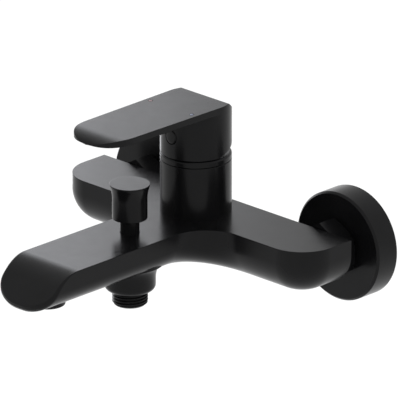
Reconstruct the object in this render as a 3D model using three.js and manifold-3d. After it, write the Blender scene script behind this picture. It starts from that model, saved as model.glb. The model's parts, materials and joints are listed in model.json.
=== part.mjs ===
// Wall mounted single lever bath and shower mixer, in millimetres.
// The origin lies on the wall plane, midway between the two inlets and at the height of their axes.
// +X runs from the hot inlet (left) to the cold inlet (right), +Y points into the wall, +Z is up.

import * as THREE from 'three';
import { mergeVertices } from 'three/addons/utils/BufferGeometryUtils.js';
import Module from 'manifold-3d';

const wasm = await Module();
wasm.setup();

// ---------------------------------------------------------------- driving dimensions

const clearance = 0.3;            // between pieces that touch, slide or screw together

// wall connection, measured out from the wall
const inletSpacing = 150;
const escutcheonRadius = 33;
const escutcheonDepth = 16;
const escutcheonWall = 1.6;
const escutcheonChamfer = 1.2;
const wallThreadRadius = 10.48;   // G1/2
const wallThreadLength = 17;
const wallBoreRadius = 7.5;
const unionOffset = 8;            // eccentricity of the S-union
const unionThreadRadius = 13.2;   // G3/4
const unionBoreRadius = 8.5;
const unionBlockRadius = 16.5;
const unionBlockLength = 8;
const unionBlockBack = 1.5;       // from the wall plane to the eccentric block
const nutAcrossCorners = 37;
const nutLipThickness = 2.7;
const tailFlangeThickness = 3;
const tailTubeRadius = 9.5;
const tailBoreRadius = 6.5;
const tailInsertDepth = 12;
const filterWasherThickness = 2;
const tailSealRadius = 1;         // O-ring section
const nutToEscutcheon = 1;

// body
const bodyBack = 31.3;            // from the wall to the body's back face
const bodyTop = 14.9;             // from the inlet axis to the flat top
const armOverhang = 26;           // from an inlet's axis to the end of its arm
const armDepth = 40.2;
const armHeight = 29.4;
const armWallHeight = 9;          // upright part of the arm's side, above its rounding
const armRounding = 19.5;
const armCornerRadius = 23;
const spoutReach = 185;           // from the wall to the top edge of the slanted end
const spoutHalfWidth = 22.5;
const spoutHeight = 23.2;
const spoutWallHeight = 10;
const spoutRounding = 20;
const spoutFilletRadius = 25;     // in plan, between spout and arms
const spoutEndLean = 0.94;        // forward run of the slanted end for each unit of drop
const spoutEndRadius = 23;        // between the top and the slanted end
const spoutRimRadius = 3;         // around the slanted end, towards the sides and underside
const channelRadius = 5;
const mixedChannelRadius = 3.4;
const mixedChannelDrop = 2.2;     // below the inlet axis
const spoutChannelRadius = 4.2;
const spoutChannelRise = 5.5;     // above the inlet axis
const bodyTopWall = 3;

// sleeve, cartridge and handle: all on one upright axis
const sleeveBack = 56.8;          // from the wall to the cartridge axis
const sleeveRadius = 21;
const sleeveHeight = 32;
const cartridgeRadius = 17.5;     // a 35 mm cartridge
const lockNutRadius = 18.6;
const lockNutThickness = 6.3;
const lockNutRecess = 0.9;
const lockNutNotch = 3;
const lockNutNotches = 6;
const housingWall = 1.9;
const housingLid = 3.5;
const housingHeight = 23.1;
const baseThickness = 4;
const portSealThickness = 2;
const portSealWall = 1.5;
const supplyPortRadius = 2.8;
const supplyPortSide = 7.5;       // from the cartridge axis, sideways
const supplyPortBack = 3.5;       // from the cartridge axis, towards the wall
const mixedPortRadius = 3.4;
const mixedPortFront = 8;         // from the cartridge axis, away from the wall
const discThickness = 3.5;
const movingDiscRadius = 11.5;
const movingDiscOffset = 2.75;    // towards the wall while the tap is shut
const carrierThickness = 4;
const carrierSocketDepth = 2.6;
const neckRadius = 12;
const pivotRise = 6;              // from the top of the housing to the pivot pin
const neckOverPivot = 3.5;
const pinRadius = 1.5;
const stemWidth = 8;
const stemFootWidth = 5;
const stemHeight = 23.6;          // above the pivot pin
const liftAngle = 17;             // degrees
const bonnetRingHeight = 3.9;
const bonnetRingBore = 14;
const bonnetRingRadius = 1;       // rounding of its upper edge
const bonnetSpigotLength = 0.6;
const handleGap = 0.3;            // between the bonnet ring and the handle
const handleHeight = 31.5;
const handleWall = 3.3;
const handleCavityHeight = 18.6;
const handleBossRadius = 8.5;
const handleBossRise = 2.1;       // from the handle's lower edge to its boss
const handleRibWidth = 11;
const handleReliefFront = 3.5;    // from the axis to the start of the rear relief, away from the wall
const handleReliefAngle = 15.5;   // degrees
const handleBackEdge = 7.5;       // from the axis to the back edge of the top, towards the wall
const handleBevelAngle = 36;      // degrees
const leverReach = 90.6;          // from the axis to the tip
const leverEndHalfWidth = 20;
const leverThickness = 4.1;
const leverTipLength = 22.6;      // length of the rounded plan of the tip
const leverTipPower = 2.5;
const leverTipDrop = 4.1;
const leverTipBend = 13;          // length over which the top bends down at the tip
const setScrewRadius = 2.5;
const setScrewLength = 8;
const setScrewRise = 13.3;        // from the handle's lower edge
const plugRadius = 4.3;
const plugThickness = 3.2;
const dotRadius = 1.2;
const dotThickness = 0.6;
const dotSide = 16.8;
const dotFront = 20.6;            // from the axis, away from the wall

// diverter and shower outlet: on one upright axis
const diverterBack = 111.5;       // from the wall to the diverter axis
const diverterStroke = 6;
const knobRadius = 10.3;
const knobTopRadius = 11.9;
const knobHeight = 21.2;
const knobRise = 9;               // from the body's top to the knob's lower edge
const knobRimHeight = 1.6;
const knobFlareHeight = 7.1;      // from the knob's straight side up to its rim
const knobFlarePower = 2;
const knobFlareSteps = 4;
const knobEdge = 0.4;             // chamfer of its lower and upper edge
const knobBoreDepth = 12;
const rodRadius = 3;
const glandCollarRadius = 5.6;
const glandCollarHeight = 10.7;
const glandFlangeRadius = 8.2;
const glandFlangeThickness = 1.6;
const glandSealThickness = 1.6;
const glandSealDepth = 1.2;
const valveChamberRadius = 9.9;
const upperChamberRadius = 8.8;
const valveSeatRadius = 6.6;
const valveSeatThickness = 2;
const valveSeatRise = 0.5;        // from the inlet axis to the underside of the upper seat
const valveWasherRadius = 8.4;
const valveWasherThickness = 1.8;
const valvePlateThickness = 2.4;
const valveNutRadius = 4.4;
const valveNutThickness = 1.8;
const springWire = 0.9;
const springRadius = 4.6;
const springTurns = 4;
const springSides = 5;
const bossRadius = 15.1;
const bossReach = 20.3;           // from the inlet axis down to the boss's lower face
const bossRounding = 3.5;
const bossFlare = 2.2;
const outletThreadLength = 8.7;
const outletThreadPitch = 1.814;
const outletThreadDepth = 0.7;
const outletBoreRadius = 6.2;
const outletSealRadius = 0.9;

// aerator
const aeratorInset = 6;           // from the top of the spout's end back to the aerator's axis
const aeratorRadius = 10.5;
const aeratorWall = 1.6;
const aeratorDrop = 2.2;          // below the spout's underside
const aeratorInsert = 9;
const aeratorInsertRadius = 8.4;
const aeratorWasherThickness = 1.5;
const aeratorWasherLip = 2;       // width inside the insert's edge
const aeratorHoleRadius = 0.9;
const aeratorHolePitch = 2.9;

// ---------------------------------------------------------------- derived places

const rad = THREE.MathUtils.degToRad;

const armReach = inletSpacing / 2 + armOverhang;
const armFront = -(bodyBack + armDepth);
const armBottom = bodyTop - armHeight;
const spoutBottom = bodyTop - spoutHeight;
const sleeveY = -sleeveBack;
const diverterY = -diverterBack;
const aeratorY = -(spoutReach - aeratorInset);

// heights along the cartridge axis, from the top of the sleeve down
const sleeveTop = bodyTop + sleeveHeight;
const lockNutTop = sleeveTop - lockNutRecess;
const lockNutBottom = lockNutTop - lockNutThickness;
const housingTop = lockNutBottom - clearance;
const housingBottom = housingTop - housingHeight;
const baseTop = housingBottom - clearance;
const baseBottom = baseTop - baseThickness;
const chamberFloor = baseBottom - portSealThickness - 2 * clearance;
const housingBore = cartridgeRadius - housingWall;
const fixedDiscBottom = baseTop + clearance;
const movingDiscBottom = fixedDiscBottom + discThickness + clearance;
const carrierBottom = movingDiscBottom + discThickness + clearance;
const carrierTop = carrierBottom + carrierThickness;
const turretBottom = carrierTop + clearance;
const pivotZ = housingTop + pivotRise;
const turretTop = pivotZ + neckOverPivot;
const stemFoot = carrierTop - carrierSocketDepth + 2 * clearance;
const lockNutBore = neckRadius + 2 * clearance;

// and from the top of the sleeve up
const bonnetBottom = sleeveTop + clearance;
const bonnetTop = bonnetBottom + bonnetRingHeight;
const handleBottom = bonnetTop + handleGap;
const handleTop = handleBottom + handleHeight;
const handleCeiling = handleBottom + handleCavityHeight;
const stemTop = pivotZ + stemHeight;
const setScrewZ = handleBottom + setScrewRise;

// heights along the diverter axis
const knobBottom = bodyTop + knobRise;
const glandShoulder = bodyTop - bodyTopWall;
const upperWasherTop = valveSeatRise - diverterStroke - clearance;
const valvePlateTop = upperWasherTop - valveWasherThickness - clearance;
const lowerWasherTop = valvePlateTop - valvePlateThickness - clearance;
const lowerWasherBottom = lowerWasherTop - valveWasherThickness;
const nippleTop = lowerWasherBottom - clearance;
const springTop = glandShoulder - clearance - glandFlangeThickness - clearance;
const springBottom = upperWasherTop + clearance;
const bossBottom = -bossReach;
const aeratorBottom = spoutBottom - aeratorDrop;
const aeratorTop = aeratorBottom + aeratorInsert + aeratorWall + aeratorWasherThickness + 2 * clearance;

// ---------------------------------------------------------------- materials

const finish = (color, roughness, metalness) =>
  new THREE.MeshStandardMaterial({ color, roughness, metalness });

const blackPaint = finish(0x1b1b1d, 0.4, 0.3);
const brass = finish(0xc9a45a, 0.35, 1);
const steel = finish(0xb9bbbd, 0.3, 1);
const ceramic = finish(0xefede6, 0.2, 0);
const whitePlastic = finish(0xe9e9e4, 0.5, 0);
const greyPlastic = finish(0x77797c, 0.5, 0);
const rubber = finish(0x151515, 0.8, 0);
const redMark = finish(0xb3262b, 0.4, 0);
const blueMark = finish(0x2a52a8, 0.4, 0);

// ---------------------------------------------------------------- shape helpers

// Sides of a round piece, by its size
const fine = 40;
const medium = 24;
const coarse = 12;

// A closed geometry with shared vertices, no empty triangles and its faces pointing out
function closed(source) {
  const bare = source.index ? source.toNonIndexed() : source.clone();
  for (const name of Object.keys(bare.attributes)) {
    if (name !== 'position') bare.deleteAttribute(name);
  }
  const merged = mergeVertices(bare, 1e-4);
  const place = merged.attributes.position;
  const corner = [new THREE.Vector3(), new THREE.Vector3(), new THREE.Vector3()];
  const triangles = [];
  let volume = 0;
  for (let i = 0; i < merged.index.count; i += 3) {
    const ids = [0, 1, 2].map(k => merged.index.getX(i + k));
    if (ids[0] === ids[1] || ids[1] === ids[2] || ids[0] === ids[2]) continue;
    ids.forEach((id, k) => corner[k].fromBufferAttribute(place, id));
    volume += corner[0].dot(corner[1].clone().cross(corner[2])) / 6;
    triangles.push(ids);
  }
  const faces = volume < 0 ? triangles.map(([a, b, c]) => [a, c, b]) : triangles;
  merged.setIndex(faces.flat());
  return merged;
}

function toSolid(geometry) {
  const whole = closed(geometry);
  return new wasm.Manifold(new wasm.Mesh({
    numProp: 3,
    vertProperties: new Float32Array(whole.attributes.position.array),
    triVerts: new Uint32Array(whole.index.array),
  }));
}

function toGeometry(solid) {
  const mesh = solid.getMesh();
  const geometry = new THREE.BufferGeometry();
  geometry.setAttribute('position', new THREE.BufferAttribute(mesh.vertProperties, 3));
  geometry.setIndex(new THREE.BufferAttribute(mesh.triVerts, 1));
  return geometry;
}

const join = (first, ...rest) =>
  toGeometry(rest.reduce((sum, next) => sum.add(toSolid(next)), toSolid(first)));

const cut = (first, ...rest) =>
  toGeometry(rest.reduce((left, next) => left.subtract(toSolid(next)), toSolid(first)));

// Turned piece about +Z from [radius, height] points; the profile closes on itself
function turned(profile, segments = medium) {
  const points = [...profile, profile[0]].map(([r, z]) => new THREE.Vector2(r, z));
  return new THREE.LatheGeometry(points, segments).rotateX(Math.PI / 2);
}

const rod = (radius, bottom, top, segments = medium) =>
  turned([[0, bottom], [radius, bottom], [radius, top], [0, top]], segments);

const tube = (outer, inner, bottom, top, segments = medium) =>
  turned([[inner, bottom], [outer, bottom], [outer, top], [inner, top]], segments);

// Rod along +X or +Y between two places
const rodX = (radius, from, to, y, z, segments = coarse) =>
  rod(radius, from, to, segments).rotateY(Math.PI / 2).translate(0, y, z);

const rodY = (radius, from, to, x, z, segments = coarse) =>
  rod(radius, from, to, segments).rotateX(-Math.PI / 2).translate(x, 0, z);

// Box between two corners
function block([x0, y0, z0], [x1, y1, z1]) {
  return new THREE.BoxGeometry(x1 - x0, y1 - y0, z1 - z0)
    .translate((x0 + x1) / 2, (y0 + y1) / 2, (z0 + z1) / 2);
}

// Outline in the YZ plane, given as [y, z] points, as a bar of the given half width along X
function barAcross(outline, halfWidth) {
  const shape = new THREE.Shape(outline.map(([y, z]) => new THREE.Vector2(y, z)));
  return new THREE.ExtrudeGeometry(shape, { depth: 2 * halfWidth, bevelEnabled: false })
    .translate(0, 0, -halfWidth)
    .rotateY(Math.PI / 2)
    .rotateX(Math.PI / 2);
}

// Solid through a row of rings with equal counts of [x, y, z] points, closed by a fan at each end
function loft(rings) {
  const count = rings[0].length;
  const geometry = new THREE.BufferGeometry();
  geometry.setAttribute('position', new THREE.Float32BufferAttribute(rings.flat(2), 3));
  const index = [];
  for (let r = 0; r + 1 < rings.length; r++) {
    for (let i = 0; i < count; i++) {
      const a = r * count + i;
      const b = r * count + (i + 1) % count;
      index.push(a, b, b + count, a, b + count, a + count);
    }
  }
  const last = (rings.length - 1) * count;
  for (let i = 1; i + 1 < count; i++) {
    index.push(0, i + 1, i, last, last + i, last + i + 1);
  }
  geometry.setIndex(index);
  return geometry;
}

// Points of an arc in a plane, from one angle to another, in degrees
function arc(cx, cy, rx, ry, from, to, steps) {
  return Array.from({ length: steps + 1 }, (_, i) => {
    const t = rad(from + (to - from) * i / steps);
    return [cx + rx * Math.cos(t), cy + ry * Math.sin(t)];
  });
}

const smooth = t => t * t * (3 - 2 * t);

// ---------------------------------------------------------------- body

const roundingSteps = 5;
const filletSteps = 7;
const rimSteps = 4;

// Inset and height of one step of a side that is upright at first and then rounds under
function sideStep(step, wallHeight, rounding, height) {
  if (step === 0) return { inset: 0, z: bodyTop };
  const t = (step - 1) / roundingSteps * Math.PI / 2;
  const drop = wallHeight + (height - wallHeight) * Math.sin(t);
  return { inset: rounding * (1 - Math.cos(t)), z: bodyTop - drop };
}

const armStep = step => sideStep(step, armWallHeight, armRounding, armHeight);
const spoutStep = step => sideStep(step, spoutWallHeight, spoutRounding, spoutHeight);
const allSteps = Array.from({ length: roundingSteps + 2 }, (_, i) => i);

// Cross bar: one horizontal ring for each step of its side
function armBar() {
  return loft(allSteps.map(step => {
    const { inset, z } = armStep(step);
    const radius = armCornerRadius - inset;
    const corner = [armReach - armCornerRadius, armFront + armCornerRadius];
    const right = [
      ...arc(corner[0], corner[1], radius, radius, -90, 0, 6),
      [armReach - inset, -bodyBack],
    ];
    const left = right.map(([x, y]) => [-x, y]).reverse();
    return [...right, ...left].map(([x, y]) => [x, y, z]);
  }));
}

// Spout with its concave fillets towards the arms: rings from the arms to the spout's end
function spoutBar() {
  const filletX = spoutHalfWidth + spoutFilletRadius;
  const filletY = armFront - spoutFilletRadius;
  const ring = side => {
    const right = allSteps.map(side);
    const left = right.map(([x, y, z]) => [-x, y, z]).reverse();
    return [...right, ...left];
  };
  const root = ring(step => [filletX, -bodyBack - armDepth / 2, armStep(step).z]);
  const fillet = Array.from({ length: filletSteps + 1 }, (_, i) => {
    const turn = rad(90 - 90 * i / filletSteps);
    const share = smooth(i / filletSteps);
    return ring(step => {
      const arm = armStep(step);
      const spout = spoutStep(step);
      return [
        filletX - (spoutFilletRadius + spout.inset) * Math.cos(turn),
        filletY + (spoutFilletRadius + arm.inset) * Math.sin(turn),
        THREE.MathUtils.lerp(arm.z, spout.z, share),
      ];
    });
  });
  const rim = Array.from({ length: rimSteps + 1 }, (_, i) => ring(step => spoutRim(step, i / rimSteps)));
  return loft([root, ...fillet, ...rim]);
}

// Place on the rounded rim of the slanted end, from the side (0) to the slanted face (1): on a
// ball of the rim's radius that touches both
function spoutRim(step, share) {
  const { inset, z } = spoutStep(step);
  const turn = Math.max(0, step - 1) / roundingSteps * Math.PI / 2;
  const side = new THREE.Vector3((spoutHeight - spoutWallHeight) * Math.cos(turn), 0,
    -spoutRounding * Math.sin(turn)).normalize();
  const face = new THREE.Vector3(0, -1, spoutEndLean).normalize();
  const ball = new THREE.Vector3(spoutHalfWidth - inset, 0, z).addScaledVector(side, -spoutRimRadius);
  ball.y = spoutRimRadius * Math.hypot(1, spoutEndLean) - spoutReach - spoutEndLean * (bodyTop - ball.z);
  const angle = side.angleTo(face);
  return ball
    .addScaledVector(side, spoutRimRadius * Math.sin((1 - share) * angle) / Math.sin(angle))
    .addScaledVector(face, spoutRimRadius * Math.sin(share * angle) / Math.sin(angle))
    .toArray();
}

// What is cut away above the soft edge between the spout's top and its slanted end. It stops two
// degrees short of the slanted face, so that the two meet in a clear line.
function spoutEndCutter() {
  const lean = Math.atan2(1, spoutEndLean);
  const start = -(spoutReach - spoutEndRadius * Math.tan(lean / 2));
  const stop = 88 + THREE.MathUtils.radToDeg(lean);
  const edge = arc(start, bodyTop - spoutEndRadius, spoutEndRadius, spoutEndRadius, 90, stop, 6);
  const [y, z] = edge[edge.length - 1];
  const far = 4 * spoutHeight;
  const outside = [
    [y - far * Math.sin(rad(stop)), z + far * Math.cos(rad(stop))],
    [y - 2 * far, bodyTop + spoutHeight],
    [start, bodyTop + spoutHeight],
  ];
  return barAcross([...edge, ...outside], 2 * spoutHalfWidth);
}

function outletBoss() {
  const root = spoutBottom;
  const flare = arc(bossRadius + bossFlare, root - bossFlare, bossFlare, 2 * bossFlare, 180, 90, 4)
    .map(([r, z]) => [r, z]);
  const edge = arc(bossRadius - bossRounding, bossBottom + bossRounding, bossRounding,
    bossRounding, -90, 0, 4);
  return turned([[0, bossBottom], ...edge, ...flare, [bossRadius + bossFlare, 0], [0, 0]], fine)
    .translate(0, diverterY, 0);
}

function body() {
  const shell = join(
    armBar(),
    spoutBar(),
    rod(sleeveRadius, 0, sleeveTop, fine).translate(0, sleeveY, 0),
    outletBoss(),
  );
  const above = sleeveTop + 1;
  const supplyY = sleeveY + supplyPortBack;
  const mixedY = sleeveY - mixedPortFront;
  const mixedZ = -mixedChannelDrop;
  const cutters = [
    spoutEndCutter(),
    rod(cartridgeRadius + clearance, chamberFloor, above, fine).translate(0, sleeveY, 0),
    rod(lockNutRadius + clearance, housingTop, above, fine).translate(0, sleeveY, 0),
    // mixed water: down from the cartridge, forward to the valve chamber
    rod(mixedPortRadius, mixedZ, chamberFloor + 1, coarse).translate(0, mixedY, 0),
    rodY(mixedChannelRadius, diverterY, mixedY, 0, mixedZ),
    // diverter: gland hole, upper chamber, upper seat, valve chamber
    rod(glandCollarRadius + clearance, 0, bodyTop + 1).translate(0, diverterY, 0),
    rod(upperChamberRadius, valveSeatRise + valveSeatThickness, glandShoulder)
      .translate(0, diverterY, 0),
    rod(valveSeatRadius, valveSeatRise - 1, glandShoulder, coarse).translate(0, diverterY, 0),
    rod(valveChamberRadius, bossBottom - 1, valveSeatRise).translate(0, diverterY, 0),
    // bath water: forward to the aerator
    rodY(spoutChannelRadius, aeratorY, diverterY, 0, spoutChannelRise),
    rod(aeratorRadius + clearance, aeratorBottom - 1, aeratorTop + clearance)
      .translate(0, aeratorY, 0),
    rod(spoutChannelRadius, 0, spoutChannelRise, coarse).translate(0, aeratorY, 0),
  ];
  for (const side of [-1, 1]) {
    const x = side * inletSpacing / 2;
    const near = side * (supplyPortSide - supplyPortRadius);
    cutters.push(
      rodY(tailTubeRadius + clearance, -bodyBack - tailInsertDepth - clearance, 0, x, 0, medium),
      rodY(tailBoreRadius, supplyY, 0, x, 0),
      rodX(channelRadius, Math.min(x, near), Math.max(x, near), supplyY, 0),
      rod(supplyPortRadius, 0, chamberFloor + 1, coarse)
        .translate(side * supplyPortSide, supplyY, 0),
    );
  }
  return cut(shell, ...cutters);
}

// ---------------------------------------------------------------- cartridge, on its own axis

const portPlaces = {
  hot: [-supplyPortSide, supplyPortBack, supplyPortRadius],
  cold: [supplyPortSide, supplyPortBack, supplyPortRadius],
  mixed: [0, -mixedPortFront, mixedPortRadius],
};

const portHoles = (bottom, top) => Object.values(portPlaces)
  .map(([x, y, radius]) => rod(radius, bottom, top, coarse).translate(x, y, 0));

const cartridgeBase = () =>
  cut(rod(cartridgeRadius, baseBottom, baseTop, fine), ...portHoles(baseBottom - 1, baseTop + 1));

const portSeal = ([x, y, radius]) =>
  tube(radius + portSealWall, radius, baseBottom - clearance - portSealThickness,
    baseBottom - clearance, coarse).translate(x, y, 0);

const fixedDisc = () =>
  cut(rod(housingBore - clearance, fixedDiscBottom, fixedDiscBottom + discThickness, fine),
    ...portHoles(fixedDiscBottom - 1, fixedDiscBottom + discThickness + 1));

// Its underside has the pocket that joins the ports when the disc slides forward
function movingDisc() {
  const top = movingDiscBottom + discThickness;
  const pocketTop = movingDiscBottom + discThickness / 2;
  const pocket = rod(movingDiscRadius / 2, movingDiscBottom - 1, pocketTop, coarse)
    .translate(0, movingDiscOffset - movingDiscRadius / 4, 0);
  return cut(rod(movingDiscRadius, movingDiscBottom, top).translate(0, movingDiscOffset, 0),
    pocket);
}

function discCarrier() {
  const half = stemFootWidth / 2 + 2 * clearance;
  return cut(
    rod(movingDiscRadius, carrierBottom, carrierTop).translate(0, movingDiscOffset, 0),
    block([-half, -half, carrierTop - carrierSocketDepth], [half, half, carrierTop + 1]),
  );
}

const cartridgeHousing = () => turned([
  [housingBore, housingBottom], [cartridgeRadius, housingBottom], [cartridgeRadius, housingTop],
  [neckRadius + clearance, housingTop], [neckRadius + clearance, housingTop - housingLid],
  [housingBore, housingTop - housingLid],
], fine);

// The slot in the turret leaves the stem free to swing by the lift angle
function turret() {
  const lift = rad(liftAngle);
  const drumTop = housingTop - housingLid - clearance;
  const front = stemFootWidth / 2 / Math.cos(lift) + (pivotZ - turretBottom) * Math.tan(lift);
  const back = stemWidth / 2 / Math.cos(lift) + neckOverPivot * Math.tan(lift);
  const side = stemWidth / 2 + clearance;
  return cut(
    turned([
      [0, turretBottom], [housingBore - clearance, turretBottom], [housingBore - clearance, drumTop],
      [neckRadius, drumTop], [neckRadius, turretTop], [0, turretTop],
    ], fine),
    block([-side, -front - clearance, turretBottom - 1], [side, back + clearance, turretTop + 1]),
    rodX(pinRadius + clearance, -neckRadius - 1, neckRadius + 1, 0, pivotZ),
  );
}

const pivotPin = () =>
  rodX(pinRadius, -neckRadius + clearance, neckRadius - clearance, 0, pivotZ);

function stem() {
  const half = stemWidth / 2;
  const foot = stemFootWidth / 2;
  const shoulder = pivotZ - stemWidth / 2;
  return cut(
    join(
      block([-half, -half, shoulder], [half, half, stemTop]),
      block([-foot, -foot, stemFoot], [foot, foot, shoulder + 1]),
    ),
    rodX(pinRadius + clearance, -stemWidth, stemWidth, 0, pivotZ),
  );
}

function lockNut() {
  const ring = tube(lockNutRadius, lockNutBore, lockNutBottom, lockNutTop, fine);
  const notches = Array.from({ length: lockNutNotches }, (_, i) =>
    block([lockNutBore + lockNutNotch, -lockNutNotch / 2, lockNutTop - lockNutNotch],
      [lockNutRadius + 1, lockNutNotch / 2, lockNutTop + 1])
      .rotateZ(2 * Math.PI * i / lockNutNotches));
  return cut(ring, ...notches);
}

function bonnetRing() {
  const spigot = lockNutRadius - clearance;
  const edge = arc(sleeveRadius - bonnetRingRadius, bonnetTop - bonnetRingRadius,
    bonnetRingRadius, bonnetRingRadius, 0, 90, 3);
  return turned([
    [bonnetRingBore, sleeveTop - bonnetSpigotLength], [spigot, sleeveTop - bonnetSpigotLength],
    [spigot, bonnetBottom], [sleeveRadius, bonnetBottom], ...edge, [bonnetRingBore, bonnetTop],
  ], fine);
}

// ---------------------------------------------------------------- handle, on the cartridge axis

// Rounded lever plate: rings across it, from inside the skirt to the tip
function leverPlate() {
  const tip = -leverReach;
  const straight = tip + leverTipLength;
  const bend = tip + leverTipBend;
  const halfWidth = y => {
    const share = THREE.MathUtils.clamp(y / straight, 0, 1);
    const width = THREE.MathUtils.lerp(sleeveRadius, leverEndHalfWidth, share);
    const into = Math.max(0, (straight - y) / leverTipLength);
    return width * Math.max(0, 1 - into ** leverTipPower) ** (1 / leverTipPower);
  };
  const topZ = y => {
    const into = Math.max(0, (bend - y) / leverTipBend);
    return handleTop - leverTipDrop * (1 - Math.sqrt(Math.max(0, 1 - into * into)));
  };
  const tipSteps = 10;
  const places = [0, straight / 2, straight];
  for (let i = 1; i <= tipSteps; i++) {
    const turn = rad(90 * i / (tipSteps + 0.5));
    places.push(straight - leverTipLength * Math.sin(turn));
  }
  return loft(places.map(y => {
    const half = halfWidth(y);
    const top = topZ(y);
    const under = Math.min(handleTop - leverThickness, top - clearance);
    return [[half, y, top], [-half, y, top], [-half, y, under], [half, y, under]];
  }));
}

function handle() {
  const relief = Math.tan(rad(handleReliefAngle));
  const bevel = Math.tan(rad(handleBevelAngle));
  const far = 2 * sleeveRadius;
  const bore = sleeveRadius - handleWall;
  const socket = stemWidth / 2 + clearance;
  const skirt = cut(
    rod(sleeveRadius, handleBottom, handleTop, fine),
    rod(bore, handleBottom - 1, handleCeiling),
  );
  const ribHalf = handleRibWidth / 2;
  const inner = join(
    skirt,
    rod(handleBossRadius, handleBottom + handleBossRise, handleCeiling + 1, coarse),
    block([-ribHalf, -bore - 1, setScrewZ - ribHalf], [ribHalf, 0, handleCeiling + 1]),
    leverPlate(),
  );
  return cut(
    inner,
    // rear relief under the skirt, which clears the bonnet ring when the lever lifts
    barAcross([
      [-handleReliefFront, handleBottom],
      [far, handleBottom + relief * (far + handleReliefFront)],
      [far, handleBottom - far], [-handleReliefFront, handleBottom - far],
    ], far),
    // bevel behind the straight back edge of the top
    barAcross([
      [handleBackEdge, handleTop], [far, handleTop - bevel * (far - handleBackEdge)],
      [far, handleTop + far], [handleBackEdge, handleTop + far],
    ], far),
    block([-socket, -socket, handleBottom], [socket, socket, handleCeiling]),
    rodY(setScrewRadius + clearance, -sleeveRadius - 1, 0, 0, setScrewZ),
    rodY(plugRadius + clearance, -sleeveRadius - 1, -sleeveRadius + plugThickness + clearance, 0,
      setScrewZ),
    ...[-1, 1].map(side =>
      rod(dotRadius + clearance, handleTop - dotThickness - clearance, handleTop + 1, coarse)
        .translate(side * dotSide, -dotFront, 0)),
  );
}

const setScrew = () => {
  const tip = -stemWidth / 2 - clearance;
  return cut(
    rodY(setScrewRadius, tip - setScrewLength, tip, 0, setScrewZ),
    rodY(setScrewRadius / 2, tip - setScrewLength - 1, tip - setScrewLength + setScrewRadius, 0,
      setScrewZ, 6),
  );
};

// Its outer face is turned down to the skirt's own radius
const plug = () => toGeometry(
  toSolid(rodY(plugRadius, -sleeveRadius - 1, -sleeveRadius + plugThickness, 0, setScrewZ, medium))
    .intersect(toSolid(rod(sleeveRadius, handleBottom, handleTop, fine))));

const indexDot = side =>
  rod(dotRadius, handleTop - dotThickness, handleTop, coarse).translate(side * dotSide, -dotFront, 0);

// ---------------------------------------------------------------- diverter, on its own axis

function knob() {
  const top = knobBottom + knobHeight;
  const flareBottom = top - knobRimHeight - knobFlareHeight;
  const socket = rodRadius + clearance;
  const collar = glandCollarRadius + clearance;
  const collarTop = bodyTop + glandCollarHeight + clearance;
  const flare = Array.from({ length: knobFlareSteps + 1 }, (_, i) => [
    knobRadius + (knobTopRadius - knobRadius) * (i / knobFlareSteps) ** knobFlarePower,
    flareBottom + knobFlareHeight * i / knobFlareSteps,
  ]);
  return turned([
    [collar, knobBottom], [knobRadius - knobEdge, knobBottom], [knobRadius, knobBottom + knobEdge],
    ...flare, [knobTopRadius, top - knobEdge], [knobTopRadius - knobEdge, top], [0, top],
    [0, knobBottom + knobBoreDepth], [socket, knobBottom + knobBoreDepth], [socket, collarTop],
    [collar, collarTop],
  ], 30);
}

const diverterRod = () =>
  rod(rodRadius, lowerWasherBottom - valveNutThickness - 2 * clearance,
    knobBottom + knobBoreDepth - clearance, coarse);

function gland() {
  const bore = rodRadius + clearance;
  const collarTop = bodyTop + glandCollarHeight;
  const flangeTop = glandShoulder - clearance;
  const seal = glandShoulder + (bodyTopWall - glandSealThickness) / 2;
  const groove = bore + glandSealDepth + clearance;
  return turned([
    [bore, flangeTop - glandFlangeThickness], [glandFlangeRadius, flangeTop - glandFlangeThickness],
    [glandFlangeRadius, flangeTop], [glandCollarRadius, flangeTop],
    [glandCollarRadius, collarTop - 0.4], [glandCollarRadius - 0.4, collarTop],
    [bore, collarTop], [bore, seal + glandSealThickness + clearance],
    [groove, seal + glandSealThickness + clearance], [groove, seal - clearance],
    [bore, seal - clearance],
  ], coarse);
}

const glandSeal = () => {
  const seal = glandShoulder + (bodyTopWall - glandSealThickness) / 2;
  const bore = rodRadius + clearance;
  return tube(bore + glandSealDepth, bore, seal, seal + glandSealThickness, coarse);
};

const valveDisc = (bottom, thickness) =>
  tube(valveWasherRadius, rodRadius + clearance, bottom, bottom + thickness);

const valveNut = () => {
  const top = lowerWasherBottom - clearance;
  return cut(rod(valveNutRadius, top - valveNutThickness, top, 6),
    rod(rodRadius + clearance, top - valveNutThickness - 1, top + 1, coarse));
};

function spring() {
  const length = springTop - springBottom - springWire;
  class Helix extends THREE.Curve {
    getPoint(t, target = new THREE.Vector3()) {
      const turn = 2 * Math.PI * springTurns * t;
      return target.set(springRadius * Math.cos(turn), springRadius * Math.sin(turn),
        springBottom + springWire / 2 + length * t);
    }
  }
  const section = new THREE.Shape(
    arc(0, 0, springWire / 2, springWire / 2, 0, 360 - 360 / springSides, springSides - 1)
      .map(([x, y]) => new THREE.Vector2(x, y)));
  return new THREE.ExtrudeGeometry(section,
    { steps: 12 * springTurns, extrudePath: new Helix(), bevelEnabled: false });
}

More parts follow.
